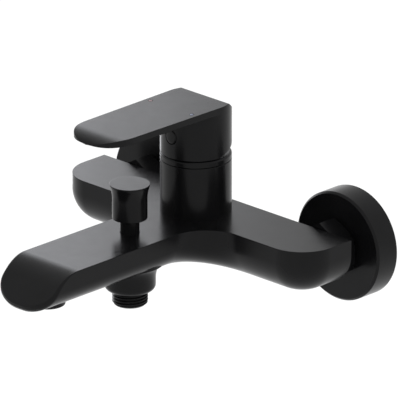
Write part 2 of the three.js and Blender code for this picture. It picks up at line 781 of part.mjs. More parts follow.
// Threaded shower outlet: ridges for the thread, and a plain spigot that screws into the boss
function outletNipple() {
  const crest = wallThreadRadius;
  const root = crest - outletThreadDepth;
  const spigot = valveChamberRadius - clearance;
  const threadTop = bossBottom - clearance;
  const threadBottom = threadTop - outletThreadLength;
  const turns = Math.floor((outletThreadLength - 1) / outletThreadPitch);
  const ridges = [];
  for (let i = turns; i > 0; i--) {
    const z = threadTop - 1 - i * outletThreadPitch + outletThreadPitch / 2;
    ridges.push([root, z - outletThreadPitch / 2], [crest, z]);
  }
  return turned([
    [outletBoreRadius, threadBottom], [root - 0.3, threadBottom], [root, threadBottom + 0.3],
    ...ridges, [root, threadTop], [spigot - outletSealRadius, threadTop],
    [spigot - outletSealRadius, bossBottom + 2 * outletSealRadius + clearance],
    [spigot, bossBottom + 2 * outletSealRadius + clearance], [spigot, nippleTop],
    [outletBoreRadius, nippleTop],
  ]);
}

const outletSeal = () => {
  const inner = valveChamberRadius - outletSealRadius;
  return tube(valveChamberRadius - clearance, inner, bossBottom, bossBottom + 2 * outletSealRadius);
};

// ---------------------------------------------------------------- aerator, on its own axis

const aeratorHousing = () => turned([
  [aeratorInsertRadius - 1, aeratorBottom], [aeratorRadius - 0.6, aeratorBottom],
  [aeratorRadius, aeratorBottom + 0.6], [aeratorRadius, aeratorTop - aeratorWasherThickness - clearance],
  [aeratorInsertRadius + clearance, aeratorTop - aeratorWasherThickness - clearance],
  [aeratorInsertRadius + clearance, aeratorBottom + aeratorWall],
  [aeratorInsertRadius - 1, aeratorBottom + aeratorWall],
]);

function aeratorCore() {
  const bottom = aeratorBottom + aeratorWall + clearance;
  const top = aeratorTop - aeratorWasherThickness - clearance;
  const holes = [[0, 0]];
  for (const [ring, count] of [[1, 6], [2, 12]]) {
    for (let i = 0; i < count; i++) {
      const turn = 2 * Math.PI * i / count;
      const reach = ring * aeratorHolePitch;
      holes.push([reach * Math.cos(turn), reach * Math.sin(turn)]);
    }
  }
  return cut(rod(aeratorInsertRadius, bottom, top),
    ...holes.map(([x, y]) => rod(aeratorHoleRadius, bottom - 1, top + 1, 6).translate(x, y, 0)));
}

const aeratorWasher = () =>
  tube(aeratorRadius, aeratorInsertRadius - aeratorWasherLip,
    aeratorTop - aeratorWasherThickness, aeratorTop);

// ---------------------------------------------------------------- wall connection
// Each side is drawn with +Z out of the wall and +Y up, and then turned into place.

const nutFar = bodyBack - clearance;
const nutNear = escutcheonDepth + nutToEscutcheon;
const tailFlangeFar = nutFar - nutLipThickness - clearance;
const tailFlangeNear = tailFlangeFar - tailFlangeThickness;
const unionEnd = tailFlangeNear - filterWasherThickness - 2 * clearance;
const nutBore = unionThreadRadius + clearance;

const escutcheon = () => turned([
  [unionThreadRadius + clearance, escutcheonDepth - escutcheonWall],
  [escutcheonRadius - escutcheonWall, escutcheonDepth - escutcheonWall],
  [escutcheonRadius - escutcheonWall, 0], [escutcheonRadius, 0],
  [escutcheonRadius, escutcheonDepth - escutcheonChamfer],
  [escutcheonRadius - escutcheonChamfer, escutcheonDepth],
  [unionThreadRadius + clearance, escutcheonDepth],
], fine);

function eccentricUnion() {
  const blockEnd = unionBlockBack + unionBlockLength;
  const middle = (unionBlockBack + blockEnd) / 2;
  return cut(
    join(
      rod(unionThreadRadius, middle, unionEnd),
      rod(unionBlockRadius, unionBlockBack, blockEnd, 8).translate(0, -unionOffset / 2, 0),
      rod(wallThreadRadius, -wallThreadLength, middle).translate(0, -unionOffset, 0),
    ),
    rod(unionBoreRadius, middle - 1, unionEnd + 1, coarse),
    rod(wallBoreRadius, -wallThreadLength - 1, middle + 1, coarse).translate(0, -unionOffset, 0),
  );
}

function unionNut() {
  const lip = nutFar - nutLipThickness;
  return cut(
    rod(nutAcrossCorners / 2, nutNear, nutFar, 6),
    rod(nutBore, nutNear - 1, lip),
    rod(tailTubeRadius + clearance, nutNear, nutFar + 1),
  );
}

// Held in the body by its thread and by the nut's lip against its flange
const tailpiece = () => {
  const bodyEnd = bodyBack + tailInsertDepth;
  const groove = tailTubeRadius - tailSealRadius;
  const sealNear = bodyBack + clearance;
  const sealFar = sealNear + 2 * tailSealRadius + 2 * clearance;
  return turned([
    [tailBoreRadius, tailFlangeNear], [unionThreadRadius - clearance, tailFlangeNear],
    [unionThreadRadius - clearance, tailFlangeFar], [tailTubeRadius, tailFlangeFar],
    [tailTubeRadius, sealNear], [groove, sealNear], [groove, sealFar], [tailTubeRadius, sealFar],
    [tailTubeRadius, bodyEnd], [tailBoreRadius, bodyEnd],
  ]);
};

const tailSeal = () => {
  const near = bodyBack + 2 * clearance;
  const inner = tailTubeRadius - tailSealRadius + clearance;
  return tube(tailTubeRadius, inner, near, near + 2 * tailSealRadius);
};

const filterWasher = () => {
  const near = unionEnd + clearance;
  return tube(unionThreadRadius - clearance, tailBoreRadius, near, near + filterWasherThickness);
};

// ---------------------------------------------------------------- assembly

function piece(name, geometry, material) {
  const mesh = new THREE.Mesh(closed(geometry), material);
  mesh.name = name;
  return mesh;
}

function group(position, ...children) {
  const set = new THREE.Group();
  set.position.set(...position);
  set.add(...children);
  return set;
}

const cartridge = group([0, sleeveY, 0],
  piece('hot_port_seal', portSeal(portPlaces.hot), rubber),
  piece('cold_port_seal', portSeal(portPlaces.cold), rubber),
  piece('mixed_port_seal', portSeal(portPlaces.mixed), rubber),
  piece('cartridge_base', cartridgeBase(), greyPlastic),
  piece('fixed_ceramic_disc', fixedDisc(), ceramic),
  piece('moving_ceramic_disc', movingDisc(), ceramic),
  piece('disc_carrier', discCarrier(), whitePlastic),
  piece('cartridge_housing', cartridgeHousing(), whitePlastic),
  piece('cartridge_turret', turret(), greyPlastic),
  piece('lever_pivot_pin', pivotPin(), steel),
  piece('lever_stem', stem(), brass),
  piece('cartridge_lock_nut', lockNut(), brass),
  piece('bonnet_ring', bonnetRing(), blackPaint),
);

const lever = group([0, sleeveY, 0],
  piece('lever_handle', handle(), blackPaint),
  piece('handle_set_screw', setScrew(), steel),
  piece('set_screw_plug', plug(), blackPaint),
  piece('hot_index_dot', indexDot(-1), redMark),
  piece('cold_index_dot', indexDot(1), blueMark),
);

const diverter = group([0, diverterY, 0],
  piece('diverter_knob', knob(), blackPaint),
  piece('diverter_rod', diverterRod(), steel),
  piece('diverter_gland', gland(), blackPaint),
  piece('gland_seal', glandSeal(), rubber),
  piece('diverter_spring', spring(), steel),
  piece('upper_valve_washer',
    valveDisc(upperWasherTop - valveWasherThickness, valveWasherThickness), rubber),
  piece('valve_plate', valveDisc(valvePlateTop - valvePlateThickness, valvePlateThickness), brass),
  piece('lower_valve_washer', valveDisc(lowerWasherBottom, valveWasherThickness), rubber),
  piece('valve_nut', valveNut(), brass),
  piece('shower_outlet_nipple', outletNipple(), blackPaint),
  piece('shower_outlet_seal', outletSeal(), rubber),
);

const aerator = group([0, aeratorY, 0],
  piece('aerator_housing', aeratorHousing(), blackPaint),
  piece('aerator_core', aeratorCore(), greyPlastic),
  piece('aerator_washer', aeratorWasher(), rubber),
);

function wallConnection(side, x) {
  const set = group([x, 0, 0],
    piece(`${side}_escutcheon`, escutcheon(), blackPaint),
    piece(`${side}_eccentric_union`, eccentricUnion(), blackPaint),
    piece(`${side}_union_nut`, unionNut(), blackPaint),
    piece(`${side}_tailpiece`, tailpiece(), brass),
    piece(`${side}_tailpiece_seal`, tailSeal(), rubber),
    piece(`${side}_filter_washer`, filterWasher(), rubber),
  );
  set.rotation.x = Math.PI / 2;
  return set;
}

const mixer = group([0, 0, 0],
  piece('mixer_body', body(), blackPaint),
  cartridge,
  lever,
  diverter,
  aerator,
  wallConnection('hot', -inletSpacing / 2),
  wallConnection('cold', inletSpacing / 2),
);
mixer.name = 'wall_bath_mixer';

export default mixer;
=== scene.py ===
"""Looks of the wall mounted bath and shower mixer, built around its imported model.

The model's own frame is used throughout: X from the hot to the cold inlet, +Y into the wall, Z up,
with the origin on the wall plane between the inlets. Shapes are worked out in millimetres and
turned into metres as each piece is made.
"""

import json
import math

import bmesh
import bpy
from mathutils import Matrix, Vector

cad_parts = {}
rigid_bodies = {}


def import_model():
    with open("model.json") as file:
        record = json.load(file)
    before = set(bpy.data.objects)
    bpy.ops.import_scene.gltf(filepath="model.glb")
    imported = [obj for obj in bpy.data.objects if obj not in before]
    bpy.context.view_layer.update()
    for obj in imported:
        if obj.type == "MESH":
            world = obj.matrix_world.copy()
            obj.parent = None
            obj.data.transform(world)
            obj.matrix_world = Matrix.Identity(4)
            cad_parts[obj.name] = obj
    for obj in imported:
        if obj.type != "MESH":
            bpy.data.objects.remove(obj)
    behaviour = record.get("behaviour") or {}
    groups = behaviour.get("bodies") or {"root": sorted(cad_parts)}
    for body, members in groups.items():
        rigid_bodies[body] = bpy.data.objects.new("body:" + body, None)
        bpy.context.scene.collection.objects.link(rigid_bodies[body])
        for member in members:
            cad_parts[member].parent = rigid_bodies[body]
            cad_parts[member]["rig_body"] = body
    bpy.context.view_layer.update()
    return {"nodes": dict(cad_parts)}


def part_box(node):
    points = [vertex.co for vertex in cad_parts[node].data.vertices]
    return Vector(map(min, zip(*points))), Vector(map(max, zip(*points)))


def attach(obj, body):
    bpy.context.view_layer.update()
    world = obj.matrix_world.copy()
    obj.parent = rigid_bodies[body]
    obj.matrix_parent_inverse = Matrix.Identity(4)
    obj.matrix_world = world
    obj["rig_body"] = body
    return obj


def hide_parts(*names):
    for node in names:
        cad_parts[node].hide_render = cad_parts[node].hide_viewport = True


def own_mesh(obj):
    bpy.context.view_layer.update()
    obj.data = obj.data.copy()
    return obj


MM = 0.001
SIDES = ("hot", "cold")
UP = Vector((0, 0, 1))
RIGHT = Vector((1, 0, 0))

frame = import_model()


# ------------------------------------------------------------------ places taken from the model

def corners(node):
    """Lowest and highest corner of a CAD node, in millimetres."""
    low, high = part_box(node)
    return low / MM, high / MM


def middle(node):
    low, high = corners(node)
    return (low + high) / 2


def radius_of(node):
    low, high = corners(node)
    return (high.x - low.x) / 2


BODY_LOW, BODY_HIGH = corners("mixer_body")
HANDLE_LOW, HANDLE_HIGH = corners("lever_handle")
RING_LOW, RING_HIGH = corners("bonnet_ring")
KNOB_LOW, KNOB_HIGH = corners("diverter_knob")
NIPPLE_LOW, NIPPLE_HIGH = corners("shower_outlet_nipple")
AERATOR_LOW, AERATOR_HIGH = corners("aerator_housing")

CLEARANCE = 0.3                    # between a piece and the hole cut for it
OVERCUT = 5.0                      # how far a cutting tool reaches out of the piece
SLEEVE_RADIUS = radius_of("bonnet_ring")
SLEEVE_Y = middle("bonnet_ring").y
SLEEVE_TOP = BODY_HIGH.z
DIVERTER_Y = middle("diverter_knob").y
AERATOR_Y = middle("aerator_housing").y

# body; a wall is the upright part of a side, the rounding is how far its lower part draws in
ARM_REACH = BODY_HIGH.x
BODY_BACK = BODY_HIGH.y
BODY_TOP = 14.9
ARM_DEPTH = 40.2
ARM_HEIGHT = 29.4
ARM_WALL_HEIGHT = 9.0
ARM_ROUNDING = 19.5
ARM_CORNER_RADIUS = 23.0
SPOUT_REACH = 185.0
SPOUT_HALF_WIDTH = 22.5
SPOUT_HEIGHT = 23.2
SPOUT_WALL_HEIGHT = 10.0
SPOUT_ROUNDING = 20.0
SPOUT_FILLET_RADIUS = 25.0
SPOUT_END_LEAN = 0.94              # rise of the slanted end's normal for each step to the front
SPOUT_END_RADIUS = 23.0            # of the bend from the flat top to the slanted end
SPOUT_RIM_RADIUS = 3.0             # at the spout's underside
SPOUT_RIM_SIDE_RADIUS = 1.7        # at its sides
EDGE_RADIUS = 0.25                 # of the body's and the lever's edges
SLEEVE_EDGE_RADIUS = 0.35
GLAND_SEAT_DEPTH = 4.0
AERATOR_SEAT_HEIGHT = 2.5          # above the aerator's housing
SOCKET_MOUTH = 20.0                # from the wall plane: tailpiece sockets are cut from here on

ARM_FRONT = BODY_BACK - ARM_DEPTH
SPOUT_BOTTOM = BODY_TOP - SPOUT_HEIGHT

# shower outlet's boss
BOSS_RADIUS = 15.1
BOSS_BOTTOM = BODY_LOW.z
BOSS_ROUNDING = 3.5
BOSS_FLARE = 4.6                   # radius of the fillet to the spout's underside
BOSS_TOP = 3.0                     # inside the spout
VALVE_CHAMBER_RADIUS = 9.9
VALVE_CHAMBER_TOP = 0.5

# handle
HANDLE_WALL = 3.3
SKIRT_EDGE_RADIUS = 0.4
SKIRT_STEP = 0.6                   # the skirt's top steps in by this where it goes into the lever
SKIRT_OVERLAP = 1.5
HANDLE_CAVITY_HEIGHT = 18.6
HANDLE_BOSS_RADIUS = 8.5
HANDLE_BOSS_RISE = 2.1
RELIEF_FRONT = 3.5                 # in front of the axis, where the rear cut under the skirt starts
RELIEF_ANGLE = math.radians(15.5)
RELIEF_EDGE_RADIUS = 0.3
HANDLE_BACK_EDGE = 7.5             # behind the axis, where the bevel at the back starts
HANDLE_BEVEL_ANGLE = math.radians(36)
HANDLE_BEVEL_EDGE_RADIUS = 0.4
LEVER_REACH = SLEEVE_Y - HANDLE_LOW.y
LEVER_END_HALF_WIDTH = 20.0
LEVER_THICKNESS = 4.1
LEVER_TIP_LENGTH = 22.6
LEVER_TIP_POWER = 2.5              # 2 would be an ellipse, more is squarer
LEVER_TIP_DROP = 4.1
LEVER_TIP_BEND = 13.0              # length over which the top drops at the tip
LEVER_EDGE_SHARE = 0.4             # of the thickness, the most that an edge's radius takes
LOWER_EDGE_START = 2.0             # in front of the axis
LOWER_EDGE_GROWTH = 8.0            # length over which the lower edge's rounding grows
STEM_HALF_WIDTH = 4.0
STEM_SOCKET_OVERCUT = 6.0
PLUG_HOLE_DEPTH = 3.5
PLUG_HOLE_OVERCUT = 2.0
DOT_HOLE_RADIUS = 1.45
DOT_HOLE_OVERCUT = 1.0
DOT_EDGE_RADIUS = 0.15

# cap over the set screw: share of its radius, and how far its face lies behind the skirt's round
PLUG_FACE = [(0, 0), (0.35, 0), (0.7, 0), (0.87, 0), (0.93, 0.12), (0.97, 0.4), (1, 0.9)]

# bonnet ring
RING_BORE_RADIUS = 14.0
RING_FOOT_RADIUS = 0.2
RING_TOP_RADIUS = 1.4

# diverter
KNOB_RADIUS = 10.3
KNOB_TOP_RADIUS = (KNOB_HIGH.y - KNOB_LOW.y) / 2
KNOB_FOOT_ROUNDING = 0.35
KNOB_CROWN_ROUNDING = 0.25
KNOB_BORE_DEPTH = 12.0
ROD_BORE = 3.3
GLAND_RADIUS = 5.6
GLAND_FLANGE = 1.6
GLAND_EDGE_RADIUS = 0.4

# flare of the knob: growth over its radius, and over its top's radius near the rim, each with
# its depth below the top
KNOB_FLARE = [(0, 12), (0, 9), (0.1, 7), (0.42, 5), (0.85, 3.2)]
KNOB_RIM = [(-0.25, 1.6), (0, 0.6)]

# diverter spring
SPRING_WIRE = 0.9
SPRING_TURNS = 4
SPRING_STEPS = 36                  # for each turn
WIRE_SEGMENTS = 10

# shower outlet with its thread, which runs out over a length at its lower and its upper end
THREAD_CREST = 10.48               # radius
THREAD_DEPTH = 0.95
THREAD_PITCH = 1.814
THREAD_ROOT_SHARE = 0.12           # of the way from root to crest, where the flank starts
THREAD_FLANK_SHARE = 0.76
THREAD_START = 0.4
THREAD_FADE_BELOW = 1.2
THREAD_FADE_ABOVE = 0.9
THREAD_SEGMENTS = 96
THREAD_ROWS = 90
NIPPLE_BORE_RADIUS = 6.2
NIPPLE_CHAMFER = 0.5
NIPPLE_BORE_CHAMFER = 0.4

# aerator housing
AERATOR_MOUTH_RADIUS = 7.4
AERATOR_BORE_RADIUS = 8.7
AERATOR_LIP = 1.6
AERATOR_MOUTH_EDGE_RADIUS = 0.3
AERATOR_FOOT_EDGE_RADIUS = 0.6

# wall flanges
ESCUTCHEON_HOLE_RADIUS = 13.5
ESCUTCHEON_WALL = 1.6
ESCUTCHEON_CHAMFER = 1.2
ESCUTCHEON_RIM_RADIUS = 0.2        # at the wall
ESCUTCHEON_CHAMFER_RADIUS = 0.25   # on both edges of the chamfer
ESCUTCHEON_HOLE_EDGE_RADIUS = 0.4

# union nuts
NUT_LIP_RADIUS = 9.8
NUT_LIP_THICKNESS = 2.7
NUT_BORE_RADIUS = 13.5
NUT_FACE_INSET = 0.3               # of the round face inside the flats, where the corners start
NUT_CORNER_ANGLE = math.radians(30)
NUT_ROWS = (0, 0.05, 0.1, 0.15, 0.2, 0.5, 0.8, 1)    # shares of its length, from the wall
NUT_SEGMENTS = 96


# ------------------------------------------------------------------ mesh helpers

WELD_DISTANCE = 0.002
SLIVER_LENGTH = 0.001


class Skin:
    """A closed surface gathered patch by patch, in millimetres, and welded at the end."""

    def __init__(self):
        self.mesh = bmesh.new()

    def face(self, points):
        self.mesh.faces.new([self.mesh.verts.new(p) for p in points])

    def grid(self, rows, ring=False):
        """Rows of points as a sheet; ring joins the last point of each row to its first."""
        verts = [[self.mesh.verts.new(p) for p in row] for row in rows]
        count = len(rows[0])
        for lower, upper in zip(verts, verts[1:]):
            for i in range(count if ring else count - 1):
                j = (i + 1) % count
                self.mesh.faces.new((lower[i], lower[j], upper[j], upper[i]))

    def both(self, rows):
        """The same sheet on the right and, mirrored, on the left."""
        self.grid(rows)
        self.grid([[mirrored(p) for p in row] for row in rows])

    def across(self, points):
        """Strips from each of the points straight across to its mirror image."""
        self.grid([points, [mirrored(p) for p in points]])

    def closed(self):
        bmesh.ops.remove_doubles(self.mesh, verts=self.mesh.verts, dist=WELD_DISTANCE)
        bmesh.ops.dissolve_degenerate(self.mesh, edges=self.mesh.edges, dist=SLIVER_LENGTH)
        bmesh.ops.recalc_face_normals(self.mesh, faces=self.mesh.faces)
        return self.mesh


def mirrored(point):
    return (-point[0], point[1], point[2])


def smooth(t):
    t = min(1.0, max(0.0, t))
    return t * t * (3 - 2 * t)


def mix(a, b, t):
    return a + (b - a) * t


def shares(steps):
    return [i / steps for i in range(steps + 1)]


def arc(cx, cy, radius, start, end, steps):
    """Points of an arc in a plane, between two angles in degrees."""
    angles = [math.radians(mix(start, end, t)) for t in shares(steps)]
    return [(cx + radius * math.cos(t), cy + radius * math.sin(t)) for t in angles]


def rounded(profile, radii, steps=4):
    """A closed [r, z] profile with its corners rounded by the radii given for them, by number."""
    points = []
    count = len(profile)
    for i, corner in enumerate(profile):
        radius = radii.get(i, 0)
        here = Vector(corner)
        if not radius:
            points.append(tuple(here))
            continue
        before = (Vector(profile[i - 1]) - here).normalized()
        after = (Vector(profile[(i + 1) % count]) - here).normalized()
        half = before.angle(after) / 2
        centre = here + (before + after).normalized() * radius / math.sin(half)
        first = here + before * radius / math.tan(half) - centre
        last = here + after * radius / math.tan(half) - centre
        for t in shares(steps):
            points.append(tuple(centre + radius * first.normalized().slerp(last.normalized(), t)))
    return points


def turns(segments):
    """The angles of a full turn in equal steps."""
    return [2 * math.pi * i / segments for i in range(segments)]


def wrapped(rows, centre=(0, 0, 0)):
    """Closed piece from rows of [r, z] points, each row once round an upright axis."""
    skin = Skin()
    placed = []
    for row in rows:
        placed.append([
            (centre[0] + r * math.cos(turn), centre[1] + r * math.sin(turn), centre[2] + z)
            for (r, z), turn in zip(row, turns(len(row)))
        ])
    skin.grid(placed, ring=True)
    return skin.closed()


def turned(profile, segments=96, centre=(0, 0, 0)):
    """Piece turned about an upright axis, from a closed [r, z] profile."""
    return wrapped([[point] * segments for point in [*profile, profile[0]]], centre)


def out_of_wall(mesh, x):
    """Turns a piece drawn upright so that its axis runs out of the wall at x."""
    for vert in mesh.verts:
        px, py, pz = vert.co
        vert.co = (x + px, -pz, py)
    return mesh


def combined(first, tools, operation):
    """Union or difference of one mesh with each of the tools, in turn."""
    base = hidden_object(first)
    for tool in tools:
        other = hidden_object(tool)
        step = base.modifiers.new("step", "BOOLEAN")
        step.solver = "MANIFOLD"
        step.operation = operation
        step.object = other
    graph = bpy.context.evaluated_depsgraph_get()
    result = bpy.data.meshes.new_from_object(base.evaluated_get(graph))
    mesh = bmesh.new()
    mesh.from_mesh(result)
    for step in list(base.modifiers):
        bpy.data.objects.remove(step.object)
    bpy.data.objects.remove(base)
    return mesh


def hidden_object(mesh):
    data = bpy.data.meshes.new("step")
    mesh.to_mesh(data)
    mesh.free()
    thing = bpy.data.objects.new("step", data)
    bpy.context.scene.collection.objects.link(thing)
    thing.hide_render = True
    return thing


# ------------------------------------------------------------------ materials

NOISE_LOW = 0.3                    # most of what a noise gives lies between these two
NOISE_HIGH = 0.7


class Surface:
    """A node material around one Principled shader, textured in the object's own coordinates."""

    def __init__(self, name, metallic=0.0, ior=1.5):
        self.material = bpy.data.materials.new(name)
        self.material.use_nodes = True
        self.tree = self.material.node_tree
        self.shader = self.tree.nodes["Principled BSDF"]
        self.shader.inputs["Metallic"].default_value = metallic
        self.shader.inputs["IOR"].default_value = ior
        self.place = self.tree.nodes.new("ShaderNodeTexCoord").outputs["Object"]

    def noise(self, scale, detail=3.0, stretch=None):
        """Noise value at a scale in waves for each metre."""
        node = self.tree.nodes.new("ShaderNodeTexNoise")
        node.inputs["Scale"].default_value = scale
        node.inputs["Detail"].default_value = detail
        if stretch is None:
            self.tree.links.new(self.place, node.inputs["Vector"])
        else:
            mapping = self.tree.nodes.new("ShaderNodeMapping")
            mapping.inputs["Scale"].default_value = stretch
            self.tree.links.new(self.place, mapping.inputs["Vector"])
            self.tree.links.new(mapping.outputs["Vector"], node.inputs["Vector"])
        return node.outputs["Fac"]

    def color(self, value, dark, light):
        node = self.tree.nodes.new("ShaderNodeValToRGB")
        stops = [(NOISE_LOW, dark), (NOISE_HIGH, light)]
        for element, (position, color) in zip(node.color_ramp.elements, stops):
            element.position = position
            element.color = (*color, 1)
        self.tree.links.new(value, node.inputs["Fac"])
        self.tree.links.new(node.outputs["Color"], self.shader.inputs["Base Color"])

    def roughness(self, value, low, high):
        node = self.tree.nodes.new("ShaderNodeMapRange")
        node.inputs["From Min"].default_value = NOISE_LOW
        node.inputs["From Max"].default_value = NOISE_HIGH
        node.inputs["To Min"].default_value = low
        node.inputs["To Max"].default_value = high
        self.tree.links.new(value, node.inputs["Value"])
        self.tree.links.new(node.outputs["Result"], self.shader.inputs["Roughness"])

    def bump(self, value, height):
        """Relief of the given height in metres."""
        node = self.tree.nodes.new("ShaderNodeBump")
        node.inputs["Strength"].default_value = 1.0
        node.inputs["Distance"].default_value = height
        self.tree.links.new(value, node.inputs["Height"])
        self.tree.links.new(node.outputs["Normal"], self.shader.inputs["Normal"])


def satin_black():
    """Powder coated brass: nearly black, with a fine even grain and a soft gloss. Its low IOR
    keeps it dark in a white room."""
    surface = Surface("satin_black", ior=1.23)
    surface.color(surface.noise(60, 4), (0.0036, 0.0036, 0.0039), (0.0052, 0.0052, 0.0056))
    surface.roughness(surface.noise(150, 3), 0.22, 0.27)
    surface.bump(surface.noise(2600, 2), 0.000006)
    return surface.material


def plated(name, dark, light, low, high, scale=900):
    """Bare metal with the fine turning marks of its machining."""
    surface = Surface(name, metallic=1.0)
    surface.color(surface.noise(120, 4), dark, light)
    surface.roughness(surface.noise(scale, 3), low, high)
    surface.bump(surface.noise(scale, 3, stretch=(1, 1, 6)), 0.00001)
    return surface.material


def moulded(name, dark, light, low, high, grain=1800, ior=1.5):
    """Moulded plastic, rubber, ceramic or paint: faint mottling and a fine skin."""
    surface = Surface(name, ior=ior)
    surface.color(surface.noise(90, 4), dark, light)
    surface.roughness(surface.noise(400, 3), low, high)
    surface.bump(surface.noise(grain, 2), 0.000008)
    return surface.material


BLACK = satin_black()
BRASS = plated("turned_brass", (0.50, 0.33, 0.12), (0.62, 0.43, 0.17), 0.26, 0.38)
STEEL = plated("brushed_steel", (0.42, 0.43, 0.44), (0.55, 0.56, 0.57), 0.24, 0.36)
CERAMIC = moulded("ground_ceramic", (0.80, 0.78, 0.73), (0.88, 0.86, 0.81), 0.12, 0.2, ior=1.7)
WHITE_PLASTIC = moulded("white_plastic", (0.74, 0.74, 0.70), (0.82, 0.82, 0.78), 0.42, 0.52)
GREY_PLASTIC = moulded("grey_plastic", (0.16, 0.165, 0.17), (0.20, 0.205, 0.21), 0.42, 0.52)
RUBBER = moulded("black_rubber", (0.010, 0.010, 0.010), (0.016, 0.016, 0.016), 0.7, 0.85, 1200)
RED_MARK = moulded("red_mark", (0.085, 0.010, 0.016), (0.12, 0.015, 0.022), 0.28, 0.36)
BLUE_MARK = moulded("blue_mark", (0.009, 0.025, 0.08), (0.014, 0.036, 0.11), 0.28, 0.36)

NODE_MATERIALS = {
    "hot_port_seal": RUBBER, "cold_port_seal": RUBBER, "mixed_port_seal": RUBBER,
    "cartridge_base": GREY_PLASTIC, "fixed_ceramic_disc": CERAMIC, "moving_ceramic_disc": CERAMIC,
    "disc_carrier": WHITE_PLASTIC, "cartridge_housing": WHITE_PLASTIC,
    "cartridge_turret": GREY_PLASTIC, "lever_pivot_pin": STEEL, "lever_stem": BRASS,
    "cartridge_lock_nut": BRASS, "handle_set_screw": STEEL, "hot_index_dot": RED_MARK,
    "cold_index_dot": BLUE_MARK, "diverter_rod": STEEL, "gland_seal": RUBBER,
    "diverter_spring": STEEL, "upper_valve_washer": RUBBER, "valve_plate": BRASS,
    "lower_valve_washer": RUBBER, "valve_nut": BRASS, "shower_outlet_seal": RUBBER,
    "aerator_core": GREY_PLASTIC, "aerator_washer": RUBBER,
}
for side in SIDES:
    NODE_MATERIALS[f"{side}_tailpiece"] = BRASS
    NODE_MATERIALS[f"{side}_tailpiece_seal"] = RUBBER
    NODE_MATERIALS[f"{side}_filter_washer"] = RUBBER
for node_name, node in frame["nodes"].items():
    node.data.materials.clear()
    node.data.materials.append(NODE_MATERIALS.get(node_name, BLACK))


# ------------------------------------------------------------------ finished pieces

SHARP_ANGLE = 32
THREAD_SHARP_ANGLE = 50
NORMAL_WEIGHT = 60                 # how much more large faces count in the shading


def made(node, mesh, material=BLACK, name=None, sharp=SHARP_ANGLE):
    """The finished piece in a CAD node's place: in metres, smooth but for its sharp edges."""
    bmesh.ops.scale(mesh, vec=(MM, MM, MM), verts=mesh.verts)
    bmesh.ops.recalc_face_normals(mesh, faces=mesh.faces)
    for face in mesh.faces:
        face.smooth = True
    for edge in mesh.edges:
        if len(edge.link_faces) == 2:
            edge.smooth = edge.calc_face_angle(0) < math.radians(sharp)
    name = name or f"{node}_finish"
    data = bpy.data.meshes.new(name)
    mesh.to_mesh(data)
    mesh.free()
    thing = bpy.data.objects.new(name, data)
    bpy.context.scene.collection.objects.link(thing)
    weighted = thing.modifiers.new("weighted normals", "WEIGHTED_NORMAL")
    weighted.keep_sharp = True
    weighted.weight = NORMAL_WEIGHT
    data.materials.append(material)
    body = frame["nodes"][node]["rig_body"]
    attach(thing, body)
    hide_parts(node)
    return thing


# ------------------------------------------------------------------ body

EDGE_STEPS = 4
SIDE_STEPS = 14
CORNER_STEPS = 20
FILLET_STEPS = 20
END_STEPS = 18


def side_steps(wall, rounding, height):
    """Inset, height and turn at each step down a side: the foot of its upright part, then the
    rounding under it."""
    steps = []
    for t in shares(SIDE_STEPS):
        turn = t * math.pi / 2
        drop = wall + (height - wall) * math.sin(turn)
        steps.append((rounding * (1 - math.cos(turn)), BODY_TOP - drop, turn))
    return steps


ARM_SIDE = side_steps(ARM_WALL_HEIGHT, ARM_ROUNDING, ARM_HEIGHT)
SPOUT_SIDE = side_steps(SPOUT_WALL_HEIGHT, SPOUT_ROUNDING, SPOUT_HEIGHT)


def edge_points(x, y, z, side, top, radius):
    """Rounded edge between a side and a top with the given normals, from the top to the side."""
    corner = Vector((x, y, z))
    centre = corner - radius * side - radius * top
    points = []
    for t in shares(EDGE_STEPS):
        turn = t * math.pi / 2
        points.append(tuple(centre + radius * (math.sin(turn) * side + math.cos(turn) * top)))
    return points


def arm_column(x, y, side):
    """Points down the arm at one place of its outline, whose outward normal is side."""
    column = edge_points(x, y, BODY_TOP, side, UP, EDGE_RADIUS)
    for inset, z, _ in ARM_SIDE:
        column.append((x - inset * side.x, y - inset * side.y, z))
    return column


def back_column():
    """The same at the arm's back corner, where the upper edge turns along the back."""
    column = []
    for t in shares(EDGE_STEPS):
        turn = t * math.pi / 2
        inset = EDGE_RADIUS * (1 - math.sin(turn))
        drop = EDGE_RADIUS * (1 - math.cos(turn))
        column.append((ARM_REACH - inset, BODY_BACK - inset, BODY_TOP - drop))
    for inset, z, _ in ARM_SIDE:
        column.append((ARM_REACH - inset, BODY_BACK, z))
    return column


def fillet_column(t):
    """Points down the concave fillet between arm and spout, from the arm (0) to the spout (1)."""
    turn = math.radians(mix(90, 0, t))
    blend = smooth(t)
    centre_x = SPOUT_HALF_WIDTH + SPOUT_FILLET_RADIUS
    centre_y = ARM_FRONT - SPOUT_FILLET_RADIUS
    side = Vector((math.cos(turn), -math.sin(turn), 0))
    x = centre_x - SPOUT_FILLET_RADIUS * math.cos(turn)
    y = centre_y + SPOUT_FILLET_RADIUS * math.sin(turn)
    column = edge_points(x, y, BODY_TOP, side, UP, EDGE_RADIUS)
    for (arm_inset, arm_z, _), (spout_inset, spout_z, _) in zip(ARM_SIDE, SPOUT_SIDE):
        column.append((
            centre_x - (SPOUT_FILLET_RADIUS + spout_inset) * math.cos(turn),
            centre_y + (SPOUT_FILLET_RADIUS + arm_inset) * math.sin(turn),
            mix(arm_z, spout_z, blend),
        ))
    return column


FACE_NORMAL = Vector((0, -1, SPOUT_END_LEAN)).normalized()
LEAN_ANGLE = math.atan2(1, SPOUT_END_LEAN)
END_START = -(SPOUT_REACH - SPOUT_END_RADIUS * math.tan(LEAN_ANGLE / 2))


